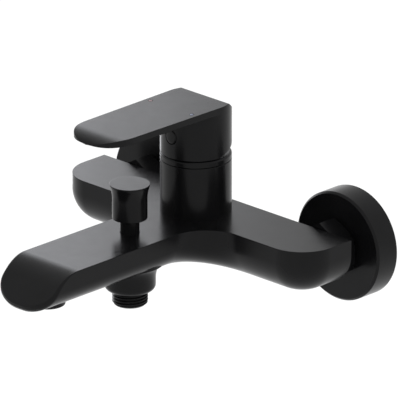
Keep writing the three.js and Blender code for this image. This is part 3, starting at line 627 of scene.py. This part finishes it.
def rim_points(centre_x, centre_z, side, radius):
    """Rounded rim from a side with the given normal to the slanted face: on a ball that touches
    both, whose centre has the given x and z."""
    centre_y = (radius * math.hypot(1, SPOUT_END_LEAN) - SPOUT_REACH
                - SPOUT_END_LEAN * (BODY_TOP - centre_z))
    centre = Vector((centre_x, centre_y, centre_z))
    angle = side.angle(FACE_NORMAL)
    points = []
    for t in shares(EDGE_STEPS):
        toward = side * math.sin((1 - t) * angle) + FACE_NORMAL * math.sin(t * angle)
        points.append(tuple(centre + radius * (toward / math.sin(angle))))
    return points


def spout_rim_rows():
    """Rim of the slanted end, down one side: crisper at the side than at the underside."""
    rows = []
    for inset, z, turn in SPOUT_SIDE:
        side = Vector((
            (SPOUT_HEIGHT - SPOUT_WALL_HEIGHT) * math.cos(turn),
            0,
            -SPOUT_ROUNDING * math.sin(turn),
        )).normalized()
        radius = mix(SPOUT_RIM_SIDE_RADIUS, SPOUT_RIM_RADIUS, math.sin(turn))
        centre = Vector((SPOUT_HALF_WIDTH - inset, 0, z)) - side * radius
        rows.append(rim_points(centre.x, centre.z, side, radius))
    return rows


def end_column(t, rim_rows):
    """Points down the spout where its top bends over, from the flat top (0) to the face (1)."""
    turn = t * LEAN_ANGLE
    top = Vector((0, -math.sin(turn), math.cos(turn)))
    y = END_START - SPOUT_END_RADIUS * math.sin(turn)
    z = BODY_TOP - SPOUT_END_RADIUS * (1 - math.cos(turn))
    radius = mix(EDGE_RADIUS, SPOUT_RIM_SIDE_RADIUS, smooth(t))
    column = edge_points(SPOUT_HALF_WIDTH, y, z, RIGHT, top, radius)
    for (inset, side_z, _), rim in zip(SPOUT_SIDE, rim_rows):
        column.append((SPOUT_HALF_WIDTH - inset, mix(END_START, rim[0][1], t), side_z))
    return column


def body_shell():
    """Arms and spout as one closed skin."""
    skin = Skin()
    corner_x = ARM_REACH - ARM_CORNER_RADIUS
    corner_y = ARM_FRONT + ARM_CORNER_RADIUS
    arm = [back_column(), arm_column(ARM_REACH, BODY_BACK - 2 * EDGE_RADIUS, RIGHT)]
    for t in shares(CORNER_STEPS):
        turn = math.radians(mix(0, -90, t))
        out = Vector((math.cos(turn), math.sin(turn), 0))
        place = Vector((corner_x, corner_y, 0)) + out * ARM_CORNER_RADIUS
        arm.append(arm_column(place.x, place.y, out))
    fillet = [fillet_column(t) for t in shares(FILLET_STEPS)]
    arm.append(fillet[0])
    rim_rows = spout_rim_rows()
    end = [end_column(t, rim_rows) for t in shares(END_STEPS)]
    spout = [*fillet, *end]
    skin.both(arm)
    skin.both(spout)

    # top, underside and back, straight across
    skin.across([column[0] for column in spout])
    skin.across([column[-1] for column in spout])
    skin.across(arm[0][:EDGE_STEPS + 1])
    for end_of_column in (0, -1):
        outline = [column[end_of_column] for column in arm]
        skin.face([*outline, *[mirrored(p) for p in reversed(outline)]])
    back = arm[0][EDGE_STEPS:]
    skin.face([*back, *[mirrored(p) for p in reversed(back)]])

    # rounded rim and the slanted face inside it
    last = list(reversed(end[-1][:EDGE_STEPS + 1]))
    rows = [last, *rim_rows]
    skin.both(rows)
    skin.across(rows[-1])
    face = [row[-1] for row in rows]
    skin.face([*face, *[mirrored(p) for p in reversed(face)]])
    return skin.closed()


def sleeve():
    profile = [(0, 0), (SLEEVE_RADIUS, 0), (SLEEVE_RADIUS, SLEEVE_TOP), (0, SLEEVE_TOP)]
    return turned(rounded(profile, {2: SLEEVE_EDGE_RADIUS}), 128, (0, SLEEVE_Y, 0))


def outlet_boss():
    lower = arc(BOSS_RADIUS - BOSS_ROUNDING, BOSS_BOTTOM + BOSS_ROUNDING, BOSS_ROUNDING, -90, 0, 8)
    flare = []
    for t in shares(8):
        turn = math.radians(mix(180, 90, t))
        r = BOSS_RADIUS + BOSS_FLARE + BOSS_FLARE * math.cos(turn)
        flare.append((r, SPOUT_BOTTOM - BOSS_FLARE + 2 * BOSS_FLARE * math.sin(turn)))
    inside = [(BOSS_RADIUS + BOSS_FLARE, BOSS_TOP), (0, BOSS_TOP)]
    return turned([(0, BOSS_BOTTOM), *lower, *flare, *inside], 96, (0, DIVERTER_Y, 0))


def bore(radius, bottom, top, y=0):
    return turned([(0, bottom), (radius, bottom), (radius, top), (0, top)], 64, (0, y, 0))


def make_body():
    nut_recess = corners("cartridge_lock_nut")[0].z
    nut_radius = radius_of("cartridge_lock_nut") + CLEARANCE
    gland_radius = GLAND_RADIUS + CLEARANCE
    aerator_radius = radius_of("aerator_housing") + CLEARANCE
    tail_radius = radius_of("hot_tailpiece_seal") + CLEARANCE
    tail_end = corners("hot_tailpiece")[0].y - CLEARANCE
    tools = [
        bore(nut_radius, nut_recess, SLEEVE_TOP + OVERCUT, y=SLEEVE_Y),
        bore(gland_radius, BODY_TOP - GLAND_SEAT_DEPTH, BODY_TOP + OVERCUT, y=DIVERTER_Y),
        bore(VALVE_CHAMBER_RADIUS, BOSS_BOTTOM - OVERCUT, VALVE_CHAMBER_TOP, y=DIVERTER_Y),
        bore(aerator_radius, AERATOR_LOW.z - OVERCUT, AERATOR_HIGH.z + AERATOR_SEAT_HEIGHT,
             y=AERATOR_Y),
    ]
    for side in SIDES:
        socket = bore(tail_radius, SOCKET_MOUTH, -tail_end)
        tools.append(out_of_wall(socket, middle(f"{side}_tailpiece").x))
    shell = combined(body_shell(), [sleeve(), outlet_boss()], "UNION")
    made("mixer_body", combined(shell, tools, "DIFFERENCE"))


# ------------------------------------------------------------------ handle

HANDLE_TOP = HANDLE_HIGH.z
HANDLE_BOTTOM = HANDLE_LOW.z
HANDLE_CEILING = HANDLE_BOTTOM + HANDLE_CAVITY_HEIGHT
PLATE_BOTTOM = HANDLE_TOP - LEVER_THICKNESS
TIP_START = -(LEVER_REACH - LEVER_TIP_LENGTH)
BACK_STEP_DEGREES = 4
LEVER_SIDE_STEPS = 16
TIP_STEPS = 28
CUT_EDGE_STEPS = 3


def lever_top(y):
    """Height of the handle's top, which bends down at the tip."""
    into = max(0.0, (LEVER_TIP_BEND - LEVER_REACH - y) / LEVER_TIP_BEND)
    return HANDLE_TOP - LEVER_TIP_DROP * (1 - math.sqrt(max(0.0, 1 - into * into)))


def lever_under(y):
    """Height of the lever's underside, which follows the top where the tip bends down."""
    return min(PLATE_BOTTOM, lever_top(y) - CLEARANCE)


def lever_outline():
    """Right half of the handle seen from above, from its back round to the lever's tip, about
    the sleeve's axis."""
    points = []
    for degrees in range(0, 90, BACK_STEP_DEGREES):
        turn = math.radians(degrees)
        points.append((SLEEVE_RADIUS * math.sin(turn), SLEEVE_RADIUS * math.cos(turn)))
    for t in shares(LEVER_SIDE_STEPS):
        y = TIP_START * t
        points.append((mix(SLEEVE_RADIUS, LEVER_END_HALF_WIDTH, t), y))
    for i in range(1, TIP_STEPS + 1):
        turn = math.pi / 2 * i / TIP_STEPS
        into = math.sin(turn)
        y = TIP_START - LEVER_TIP_LENGTH * into
        x = LEVER_END_HALF_WIDTH * max(0.0, 1 - into ** LEVER_TIP_POWER) ** (1 / LEVER_TIP_POWER)
        points.append((x, y))
    return points


def outline_normals(points):
    """Outward normals in plan; the two ends lie on the plane of symmetry."""
    normals = []
    for i in range(len(points)):
        if i == 0:
            normals.append(Vector((0, 1)))
        elif i == len(points) - 1:
            normals.append(Vector((0, -1)))
        else:
            along = Vector(points[i + 1]) - Vector(points[i - 1])
            normals.append(Vector((-along.y, along.x)).normalized())
    return normals


def lever_plate():
    """The top of the handle with its lever, down to the lever's underside."""
    columns = []
    outline = lever_outline()
    for (x, y), out in zip(outline, outline_normals(outline)):
        thickness = lever_top(y) - lever_under(y)
        upper = min(EDGE_RADIUS, LEVER_EDGE_SHARE * thickness)
        lower = upper * smooth((-y - LOWER_EDGE_START) / LOWER_EDGE_GROWTH)
        column = []
        for t in shares(EDGE_STEPS):
            turn = t * math.pi / 2
            inset = upper * (1 - math.sin(turn))
            px = max(0.0, x - out.x * inset)
            py = y - out.y * inset
            column.append((px, py, lever_top(py) - upper * (1 - math.cos(turn))))
        for t in shares(EDGE_STEPS):
            turn = t * math.pi / 2
            inset = lower * (1 - math.cos(turn))
            px = max(0.0, x - out.x * inset)
            py = y - out.y * inset
            column.append((px, py, lever_under(y) + lower * (1 - math.sin(turn))))
        columns.append(column)
    skin = Skin()
    skin.both(columns)
    skin.across([column[0] for column in columns])
    skin.across([column[-1] for column in columns])
    return skin.closed()


def sliced(mesh, point, normal, edge):
    """Cuts off what lies beyond a plane, closes the cut and rounds its edge a little."""
    geometry = [*mesh.verts, *mesh.edges, *mesh.faces]
    cut = bmesh.ops.bisect_plane(mesh, geom=geometry, plane_co=point, plane_no=normal,
                                 clear_outer=True, dist=SLIVER_LENGTH)
    loop = [e for e in cut["geom_cut"] if isinstance(e, bmesh.types.BMEdge)]
    bmesh.ops.holes_fill(mesh, edges=loop, sides=0)
    bmesh.ops.recalc_face_normals(mesh, faces=mesh.faces)
    loop = [e for e in loop if e.is_valid and len(e.link_faces) == 2]
    bmesh.ops.bevel(mesh, geom=loop, offset=edge, segments=CUT_EDGE_STEPS, profile=0.5,
                    affect="EDGES", clamp_overlap=True)
    return mesh


def handle_hollow():
    """The skirt's hollow, with a boss left standing in it."""
    inner = SLEEVE_RADIUS - HANDLE_WALL
    bottom = HANDLE_BOTTOM - OVERCUT
    boss_foot = HANDLE_BOTTOM + HANDLE_BOSS_RISE
    return turned([
        (0, bottom), (inner, bottom), (inner, HANDLE_CEILING),
        (HANDLE_BOSS_RADIUS, HANDLE_CEILING), (HANDLE_BOSS_RADIUS, boss_foot), (0, boss_foot),
    ])


def stem_socket():
    """The square hole in the boss: a turned piece with four corners, on its flat."""
    half = (STEM_HALF_WIDTH + CLEARANCE) * math.sqrt(2)
    bottom = HANDLE_BOTTOM - STEM_SOCKET_OVERCUT
    socket = turned([(0, bottom), (half, bottom), (half, HANDLE_CEILING), (0, HANDLE_CEILING)], 4)
    eighth = Matrix.Rotation(math.pi / 4, 3, "Z")
    bmesh.ops.rotate(socket, verts=socket.verts, matrix=eighth)
    return socket


def plug_hole():
    """The hole for the cap, through the front of the skirt."""
    radius = radius_of("set_screw_plug") + CLEARANCE
    front = SLEEVE_RADIUS + PLUG_HOLE_OVERCUT
    hole = out_of_wall(bore(radius, SLEEVE_RADIUS - PLUG_HOLE_DEPTH, front), 0)
    bmesh.ops.translate(hole, vec=(0, 0, middle("set_screw_plug").z), verts=hole.verts)
    return hole


def dot_hole(node):
    low, high = corners(node)
    top = high.z + DOT_HOLE_OVERCUT
    profile = [(0, low.z), (DOT_HOLE_RADIUS, low.z), (DOT_HOLE_RADIUS, top), (0, top)]
    place = middle(node)
    return turned(profile, 32, (place.x, place.y - SLEEVE_Y, 0))


def make_handle():
    """Drawn about the sleeve's axis, and moved there at the end."""
    neck = SLEEVE_RADIUS - SKIRT_STEP
    neck_top = PLATE_BOTTOM + SKIRT_OVERLAP
    skirt = turned(rounded([
        (0, HANDLE_BOTTOM), (SLEEVE_RADIUS, HANDLE_BOTTOM), (SLEEVE_RADIUS, PLATE_BOTTOM),
        (neck, PLATE_BOTTOM), (neck, neck_top), (0, neck_top),
    ], {1: SKIRT_EDGE_RADIUS}), 180)
    handle = combined(skirt, [lever_plate()], "UNION")
    relief = (0, math.sin(RELIEF_ANGLE), -math.cos(RELIEF_ANGLE))
    handle = sliced(handle, (0, -RELIEF_FRONT, HANDLE_BOTTOM), relief, RELIEF_EDGE_RADIUS)
    bevel = (0, math.sin(HANDLE_BEVEL_ANGLE), math.cos(HANDLE_BEVEL_ANGLE))
    handle = sliced(handle, (0, HANDLE_BACK_EDGE, HANDLE_TOP), bevel, HANDLE_BEVEL_EDGE_RADIUS)
    dot_holes = [dot_hole(f"{side}_index_dot") for side in SIDES]
    tools = [handle_hollow(), stem_socket(), plug_hole(), *dot_holes]
    handle = combined(handle, tools, "DIFFERENCE")
    bmesh.ops.translate(handle, vec=(0, SLEEVE_Y, 0), verts=handle.verts)
    made("lever_handle", handle)


def make_plug():
    """Cap over the set screw, flush with the round of the skirt and with a softened edge."""
    back = corners("set_screw_plug")[1].y
    radius = radius_of("set_screw_plug")
    centre_z = middle("set_screw_plug").z
    around = turns(64)
    skin = Skin()
    rows = []
    for share, dip in PLUG_FACE:
        row = []
        for turn in around:
            x = radius * share * math.cos(turn)
            z = centre_z + radius * share * math.sin(turn)
            row.append((x, SLEEVE_Y - math.sqrt(SLEEVE_RADIUS ** 2 - x * x) + dip, z))
        rows.append(row)
    rows.append([(x, back, z) for x, y, z in rows[-1]])
    rows.append([(0, back, centre_z)] * len(around))
    skin.grid(rows, ring=True)
    made("set_screw_plug", skin.closed())


def make_index_dot(node, material):
    low, high = corners(node)
    radius = radius_of(node)
    place = middle(node)
    profile = [(0, low.z), (radius, low.z), (radius, high.z), (0, high.z)]
    dot = turned(rounded(profile, {2: DOT_EDGE_RADIUS}), 48, (place.x, place.y, 0))
    made(node, dot, material)


# ------------------------------------------------------------------ turned pieces

def make_bonnet_ring():
    spigot = radius_of("cartridge_lock_nut") - CLEARANCE
    foot = SLEEVE_TOP + CLEARANCE
    profile = rounded([
        (RING_BORE_RADIUS, RING_LOW.z), (spigot, RING_LOW.z), (spigot, foot),
        (SLEEVE_RADIUS, foot), (SLEEVE_RADIUS, RING_HIGH.z), (RING_BORE_RADIUS, RING_HIGH.z),
    ], {3: RING_FOOT_RADIUS, 4: RING_TOP_RADIUS}, 8)
    made("bonnet_ring", turned(profile, 128, (0, SLEEVE_Y, 0)))


def curve_through(points, steps):
    """A smooth curve through points in a plane."""
    places = [Vector(p) for p in points]
    ends = [2 * places[0] - places[1], *places, 2 * places[-1] - places[-2]]
    curve = []
    for a, b, c, d in zip(ends, ends[1:], ends[2:], ends[3:]):
        for i in range(steps):
            t = i / steps
            curve.append(tuple(0.5 * (2 * b + (c - a) * t + (2 * a - 5 * b + 4 * c - d) * t ** 2
                                      + (3 * b - a - 3 * c + d) * t ** 3)))
    return [*curve, tuple(places[-1])]


def make_knob():
    """Straight below, with a flare up to its rim and a hollow for the gland's collar."""
    bottom = KNOB_LOW.z
    top = KNOB_HIGH.z
    collar = GLAND_RADIUS + CLEARANCE
    collar_top = corners("diverter_gland")[1].z + CLEARANCE
    flare = curve_through([
        *[(KNOB_RADIUS + growth, top - depth) for growth, depth in KNOB_FLARE],
        *[(KNOB_TOP_RADIUS + growth, top - depth) for growth, depth in KNOB_RIM],
    ], 6)
    foot = arc(KNOB_RADIUS - KNOB_FOOT_ROUNDING, bottom + KNOB_FOOT_ROUNDING,
               KNOB_FOOT_ROUNDING, -90, 0, 4)
    crown = arc(KNOB_TOP_RADIUS - KNOB_CROWN_ROUNDING, top - KNOB_CROWN_ROUNDING,
                KNOB_CROWN_ROUNDING, 0, 90, 4)
    socket_top = bottom + KNOB_BORE_DEPTH
    profile = [
        (collar, bottom), *foot, *flare, *crown, (0, top), (0, socket_top),
        (ROD_BORE, socket_top), (ROD_BORE, collar_top), (collar, collar_top),
    ]
    made("diverter_knob", turned(profile, 96, (0, DIVERTER_Y, 0)))


def make_gland():
    low, high = corners("diverter_gland")
    flange = radius_of("diverter_gland")
    shoulder = low.z + GLAND_FLANGE
    profile = rounded([
        (ROD_BORE, low.z), (flange, low.z), (flange, shoulder), (GLAND_RADIUS, shoulder),
        (GLAND_RADIUS, high.z), (ROD_BORE, high.z),
    ], {4: GLAND_EDGE_RADIUS})
    made("diverter_gland", turned(profile, 64, (0, DIVERTER_Y, 0)))


def make_spring():
    """Coil spring under the gland, which shortens as the knob is pulled."""
    low, high = corners("diverter_spring")
    wire_radius = SPRING_WIRE / 2
    coil_radius = (high.x - low.x - SPRING_WIRE) / 2
    rows = []
    for t in shares(SPRING_STEPS * SPRING_TURNS):
        turn = 2 * math.pi * SPRING_TURNS * t
        centre_z = mix(low.z + wire_radius, high.z - wire_radius, t)
        row = []
        for round_wire in turns(WIRE_SEGMENTS):
            r = coil_radius + wire_radius * math.cos(round_wire)
            z = centre_z + wire_radius * math.sin(round_wire)
            row.append((r * math.cos(turn), DIVERTER_Y + r * math.sin(turn), z))
        rows.append(row)
    wire_ends = [[tuple(sum((Vector(p) for p in row), Vector()) / len(row))] * len(row)
                 for row in (rows[0], rows[-1])]
    skin = Skin()
    skin.grid([wire_ends[0], *rows, wire_ends[1]], ring=True)
    spring = made("diverter_spring", skin.closed(), STEEL)
    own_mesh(spring)


def thread_row(z, bottom, top):
    """One turn round the thread at a height; the thread runs out towards bottom and top."""
    start = smooth((z - bottom - THREAD_START) / THREAD_FADE_BELOW)
    end = smooth((top - THREAD_FADE_ABOVE - z) / THREAD_FADE_ABOVE)
    root = THREAD_CREST - THREAD_DEPTH
    row = []
    for i in range(THREAD_SEGMENTS):
        phase = ((z - bottom) / THREAD_PITCH - i / THREAD_SEGMENTS) % 1.0
        flank = 1 - abs(2 * phase - 1)
        height = smooth((flank - THREAD_ROOT_SHARE) / THREAD_FLANK_SHARE)
        row.append((root + THREAD_DEPTH * height * start * end, z))
    return row


def make_nipple():
    """Shower outlet with a real helical thread, which runs out at both ends."""
    top = BOSS_BOTTOM - CLEARANCE
    bottom = NIPPLE_LOW.z
    spigot = VALVE_CHAMBER_RADIUS - CLEARANCE
    root = THREAD_CREST - THREAD_DEPTH
    foot = [
        (NIPPLE_BORE_RADIUS, bottom + NIPPLE_BORE_CHAMFER),
        (NIPPLE_BORE_RADIUS + NIPPLE_BORE_CHAMFER, bottom),
        (root - NIPPLE_CHAMFER, bottom),
    ]
    head = [(spigot, top), (spigot, NIPPLE_HIGH.z), (NIPPLE_BORE_RADIUS, NIPPLE_HIGH.z), foot[0]]
    thread = [thread_row(mix(bottom + NIPPLE_CHAMFER, top, t), bottom, top)
              for t in shares(THREAD_ROWS)]
    rows = [
        *[[point] * THREAD_SEGMENTS for point in foot],
        *thread,
        *[[point] * THREAD_SEGMENTS for point in head],
    ]
    made("shower_outlet_nipple", wrapped(rows, (0, DIVERTER_Y, 0)),
         name="shower_outlet_finish", sharp=THREAD_SHARP_ANGLE)


def make_aerator():
    radius = radius_of("aerator_housing")
    bottom = AERATOR_LOW.z
    top = AERATOR_HIGH.z
    lip = bottom + AERATOR_LIP
    profile = rounded([
        (AERATOR_MOUTH_RADIUS, bottom), (radius, bottom), (radius, top),
        (AERATOR_BORE_RADIUS, top), (AERATOR_BORE_RADIUS, lip), (AERATOR_MOUTH_RADIUS, lip),
    ], {0: AERATOR_MOUTH_EDGE_RADIUS, 1: AERATOR_FOOT_EDGE_RADIUS})
    made("aerator_housing", turned(profile, 96, (0, AERATOR_Y, 0)))


# ------------------------------------------------------------------ wall connection

def make_escutcheon(side):
    node = f"{side}_escutcheon"
    depth = -corners(node)[0].y
    radius = radius_of(node)
    inner = radius - ESCUTCHEON_WALL
    profile = rounded([
        (ESCUTCHEON_HOLE_RADIUS, depth - ESCUTCHEON_WALL), (inner, depth - ESCUTCHEON_WALL),
        (inner, 0), (radius, 0), (radius, depth - ESCUTCHEON_CHAMFER),
        (radius - ESCUTCHEON_CHAMFER, depth), (ESCUTCHEON_HOLE_RADIUS, depth),
    ], {
        3: ESCUTCHEON_RIM_RADIUS, 4: ESCUTCHEON_CHAMFER_RADIUS, 5: ESCUTCHEON_CHAMFER_RADIUS,
        6: ESCUTCHEON_HOLE_EDGE_RADIUS,
    })
    made(node, out_of_wall(turned(profile, 160), middle(node).x))


def make_union_nut(side):
    """Hexagon nut with a corner straight up, and its corners turned off towards the wall."""
    node = f"{side}_union_nut"
    low, high = corners(node)
    flat = (high.z - low.z) / 2 * math.cos(math.pi / 6)
    near, far = -high.y, -low.y
    lip = far - NUT_LIP_THICKNESS
    rows = []
    for share in NUT_ROWS:
        z = mix(near, far, share)
        cone = flat - NUT_FACE_INSET + share * (far - near) / math.tan(NUT_CORNER_ANGLE)
        row = []
        for turn in turns(NUT_SEGMENTS):
            within = turn % (math.pi / 3) - math.pi / 6
            hexagon = flat / math.cos(math.pi / 6 - abs(within))
            row.append((min(hexagon, cone), z))
        rows.append(row)
    inside = [
        (NUT_LIP_RADIUS, far), (NUT_LIP_RADIUS, lip), (NUT_BORE_RADIUS, lip),
        (NUT_BORE_RADIUS, near),
    ]
    rows.extend([[point] * NUT_SEGMENTS for point in inside])
    rows.append(rows[0])
    made(node, out_of_wall(wrapped(rows), middle(node).x))


make_body()
make_handle()
make_plug()
make_index_dot("hot_index_dot", RED_MARK)
make_index_dot("cold_index_dot", BLUE_MARK)
make_bonnet_ring()
make_knob()
make_gland()
make_spring()
make_nipple()
make_aerator()
for side in SIDES:
    make_escutcheon(side)
    make_union_nut(side)


# ------------------------------------------------------------------ camera and light

VIEW_AZIMUTH = math.radians(44.41)    # from straight in front, towards the cold side
VIEW_ELEVATION = math.radians(20.86)
VIEW_DISTANCE = 5.7
VIEW_TARGET = (-0.0277, -0.0251, 0.0039)
SENSOR_WIDTH = 36
LENS = 872.3
NEAREST_SEEN = 0.1
FARTHEST_SEEN = 60

FLOOR_HEIGHT = -0.25
FLOOR_HALF_WIDTH = 1.5
FLOOR_TONE = 0.8
FLOOR_GLOW = 0.25                     # lifts the floor to white where no shadow falls

LAMP_TINT = (0.955, 0.97, 1.03)       # the lamps are a little cool

# Soft boxes behind the object on the hot side, one before the other: they share their far edge,
# and their near edges step across the view so that the light fades out. For each its near edge,
# across the view from the origin towards the cold side, in metres, and its radiance.
SOFT_BOX_FAR_EDGE = -0.465
SOFT_BOXES = [(-0.105, 0.72), (-0.06, 0.46), (-0.038, 0.42), (0.0, 0.34), (0.035, 0.26)]
SOFT_BOX_DISTANCE = 0.38
SOFT_BOX_SPACING = 0.005
SOFT_BOX_HEIGHT = 0.35

# A small soft box beyond the hot arm, which the neck of the lever shows as a bright rim
RIM_BOX_PLACE = (-0.150, -0.008, -0.006)
RIM_BOX_AIM = (-0.015, -0.0715, 0.048)
RIM_BOX_WIDTH = 0.05
RIM_BOX_HEIGHT = 0.03
RIM_BOX_RADIANCE = 1.7


def add_camera():
    back = Vector((
        math.sin(VIEW_AZIMUTH) * math.cos(VIEW_ELEVATION),
        -math.cos(VIEW_AZIMUTH) * math.cos(VIEW_ELEVATION),
        math.sin(VIEW_ELEVATION),
    ))
    data = bpy.data.cameras.new("camera")
    data.lens = LENS
    data.sensor_width = SENSOR_WIDTH
    data.clip_start = NEAREST_SEEN
    data.clip_end = FARTHEST_SEEN
    camera = bpy.data.objects.new("camera", data)
    camera.location = Vector(VIEW_TARGET) + back * VIEW_DISTANCE
    camera.rotation_euler = back.to_track_quat("Z", "Y").to_euler()
    bpy.context.scene.collection.objects.link(camera)
    bpy.context.scene.camera = camera


def add_world():
    """Plain white all round: to the eye, to gloss and glass, and as light on the object."""
    world = bpy.data.worlds.new("studio")
    world.use_nodes = True
    background = world.node_tree.nodes["Background"]
    background.inputs["Color"].default_value = (1, 1, 1, 1)
    background.inputs["Strength"].default_value = 1.0
    bpy.context.scene.world = world


def add_soft_box(name, place, towards, width, height, radiance):
    """Light from a rectangle that itself is out of the camera's sight."""
    data = bpy.data.lights.new(name, "AREA")
    data.shape = "RECTANGLE"
    data.size = width
    data.size_y = height
    data.color = LAMP_TINT
    data.energy = math.pi * width * height * radiance
    lamp = bpy.data.objects.new(name, data)
    lamp.location = place
    lamp.rotation_euler = (-towards).to_track_quat("Z", "Y").to_euler()
    lamp.visible_camera = False
    bpy.context.scene.collection.objects.link(lamp)


def add_soft_boxes():
    across = Vector((math.cos(VIEW_AZIMUTH), math.sin(VIEW_AZIMUTH), 0))
    towards = Vector((math.sin(VIEW_AZIMUTH), -math.cos(VIEW_AZIMUTH), 0))
    for number, (near_edge, radiance) in enumerate(SOFT_BOXES):
        place = (across * (near_edge + SOFT_BOX_FAR_EDGE) / 2
                 - towards * (SOFT_BOX_DISTANCE + SOFT_BOX_SPACING * number))
        place.z = SOFT_BOX_HEIGHT / 2
        width = near_edge - SOFT_BOX_FAR_EDGE
        add_soft_box("soft_box", place, towards, width, SOFT_BOX_HEIGHT, radiance)
    place = Vector(RIM_BOX_PLACE)
    add_soft_box("rim_box", place, Vector(RIM_BOX_AIM) - place,
                 RIM_BOX_WIDTH, RIM_BOX_HEIGHT, RIM_BOX_RADIANCE)


def math_node(tree, operation, first, second):
    node = tree.nodes.new("ShaderNodeMath")
    node.operation = operation
    for socket, value in zip(node.inputs, (first, second)):
        if isinstance(value, (int, float)):
            socket.default_value = value
        else:
            tree.links.new(value, socket)
    return node.outputs["Value"]


def pale_floor():
    """Pale, and lifted to white for the eye, gloss and glass; a shadow still shows on it."""
    material = bpy.data.materials.new("pale_floor")
    material.use_nodes = True
    tree = material.node_tree
    shader = tree.nodes["Principled BSDF"]
    shader.inputs["Base Color"].default_value = (FLOOR_TONE, FLOOR_TONE, FLOOR_TONE, 1)
    shader.inputs["Roughness"].default_value = 1.0
    shader.inputs["Specular IOR Level"].default_value = 0.0
    shader.inputs["Emission Color"].default_value = (1, 1, 1, 1)
    path = tree.nodes.new("ShaderNodeLightPath").outputs
    in_gloss = math_node(tree, "MAXIMUM", path["Is Glossy Ray"], path["Is Transmission Ray"])
    seen = math_node(tree, "MAXIMUM", path["Is Camera Ray"], in_gloss)
    glow = math_node(tree, "MULTIPLY", seen, FLOOR_GLOW)
    tree.links.new(glow, shader.inputs["Emission Strength"])
    return material


def add_floor():
    mesh = bmesh.new()
    half = FLOOR_HALF_WIDTH
    outline = [(-half, -half), (half, -half), (half, half), (-half, half)]
    mesh.faces.new([mesh.verts.new((x, y, FLOOR_HEIGHT)) for x, y in outline])
    data = bpy.data.meshes.new("floor")
    mesh.to_mesh(data)
    mesh.free()
    data.materials.append(pale_floor())
    floor = bpy.data.objects.new("floor", data)
    bpy.context.scene.collection.objects.link(floor)


add_camera()
add_world()
add_soft_boxes()
add_floor()
bpy.context.scene.view_settings.view_transform = "Standard"
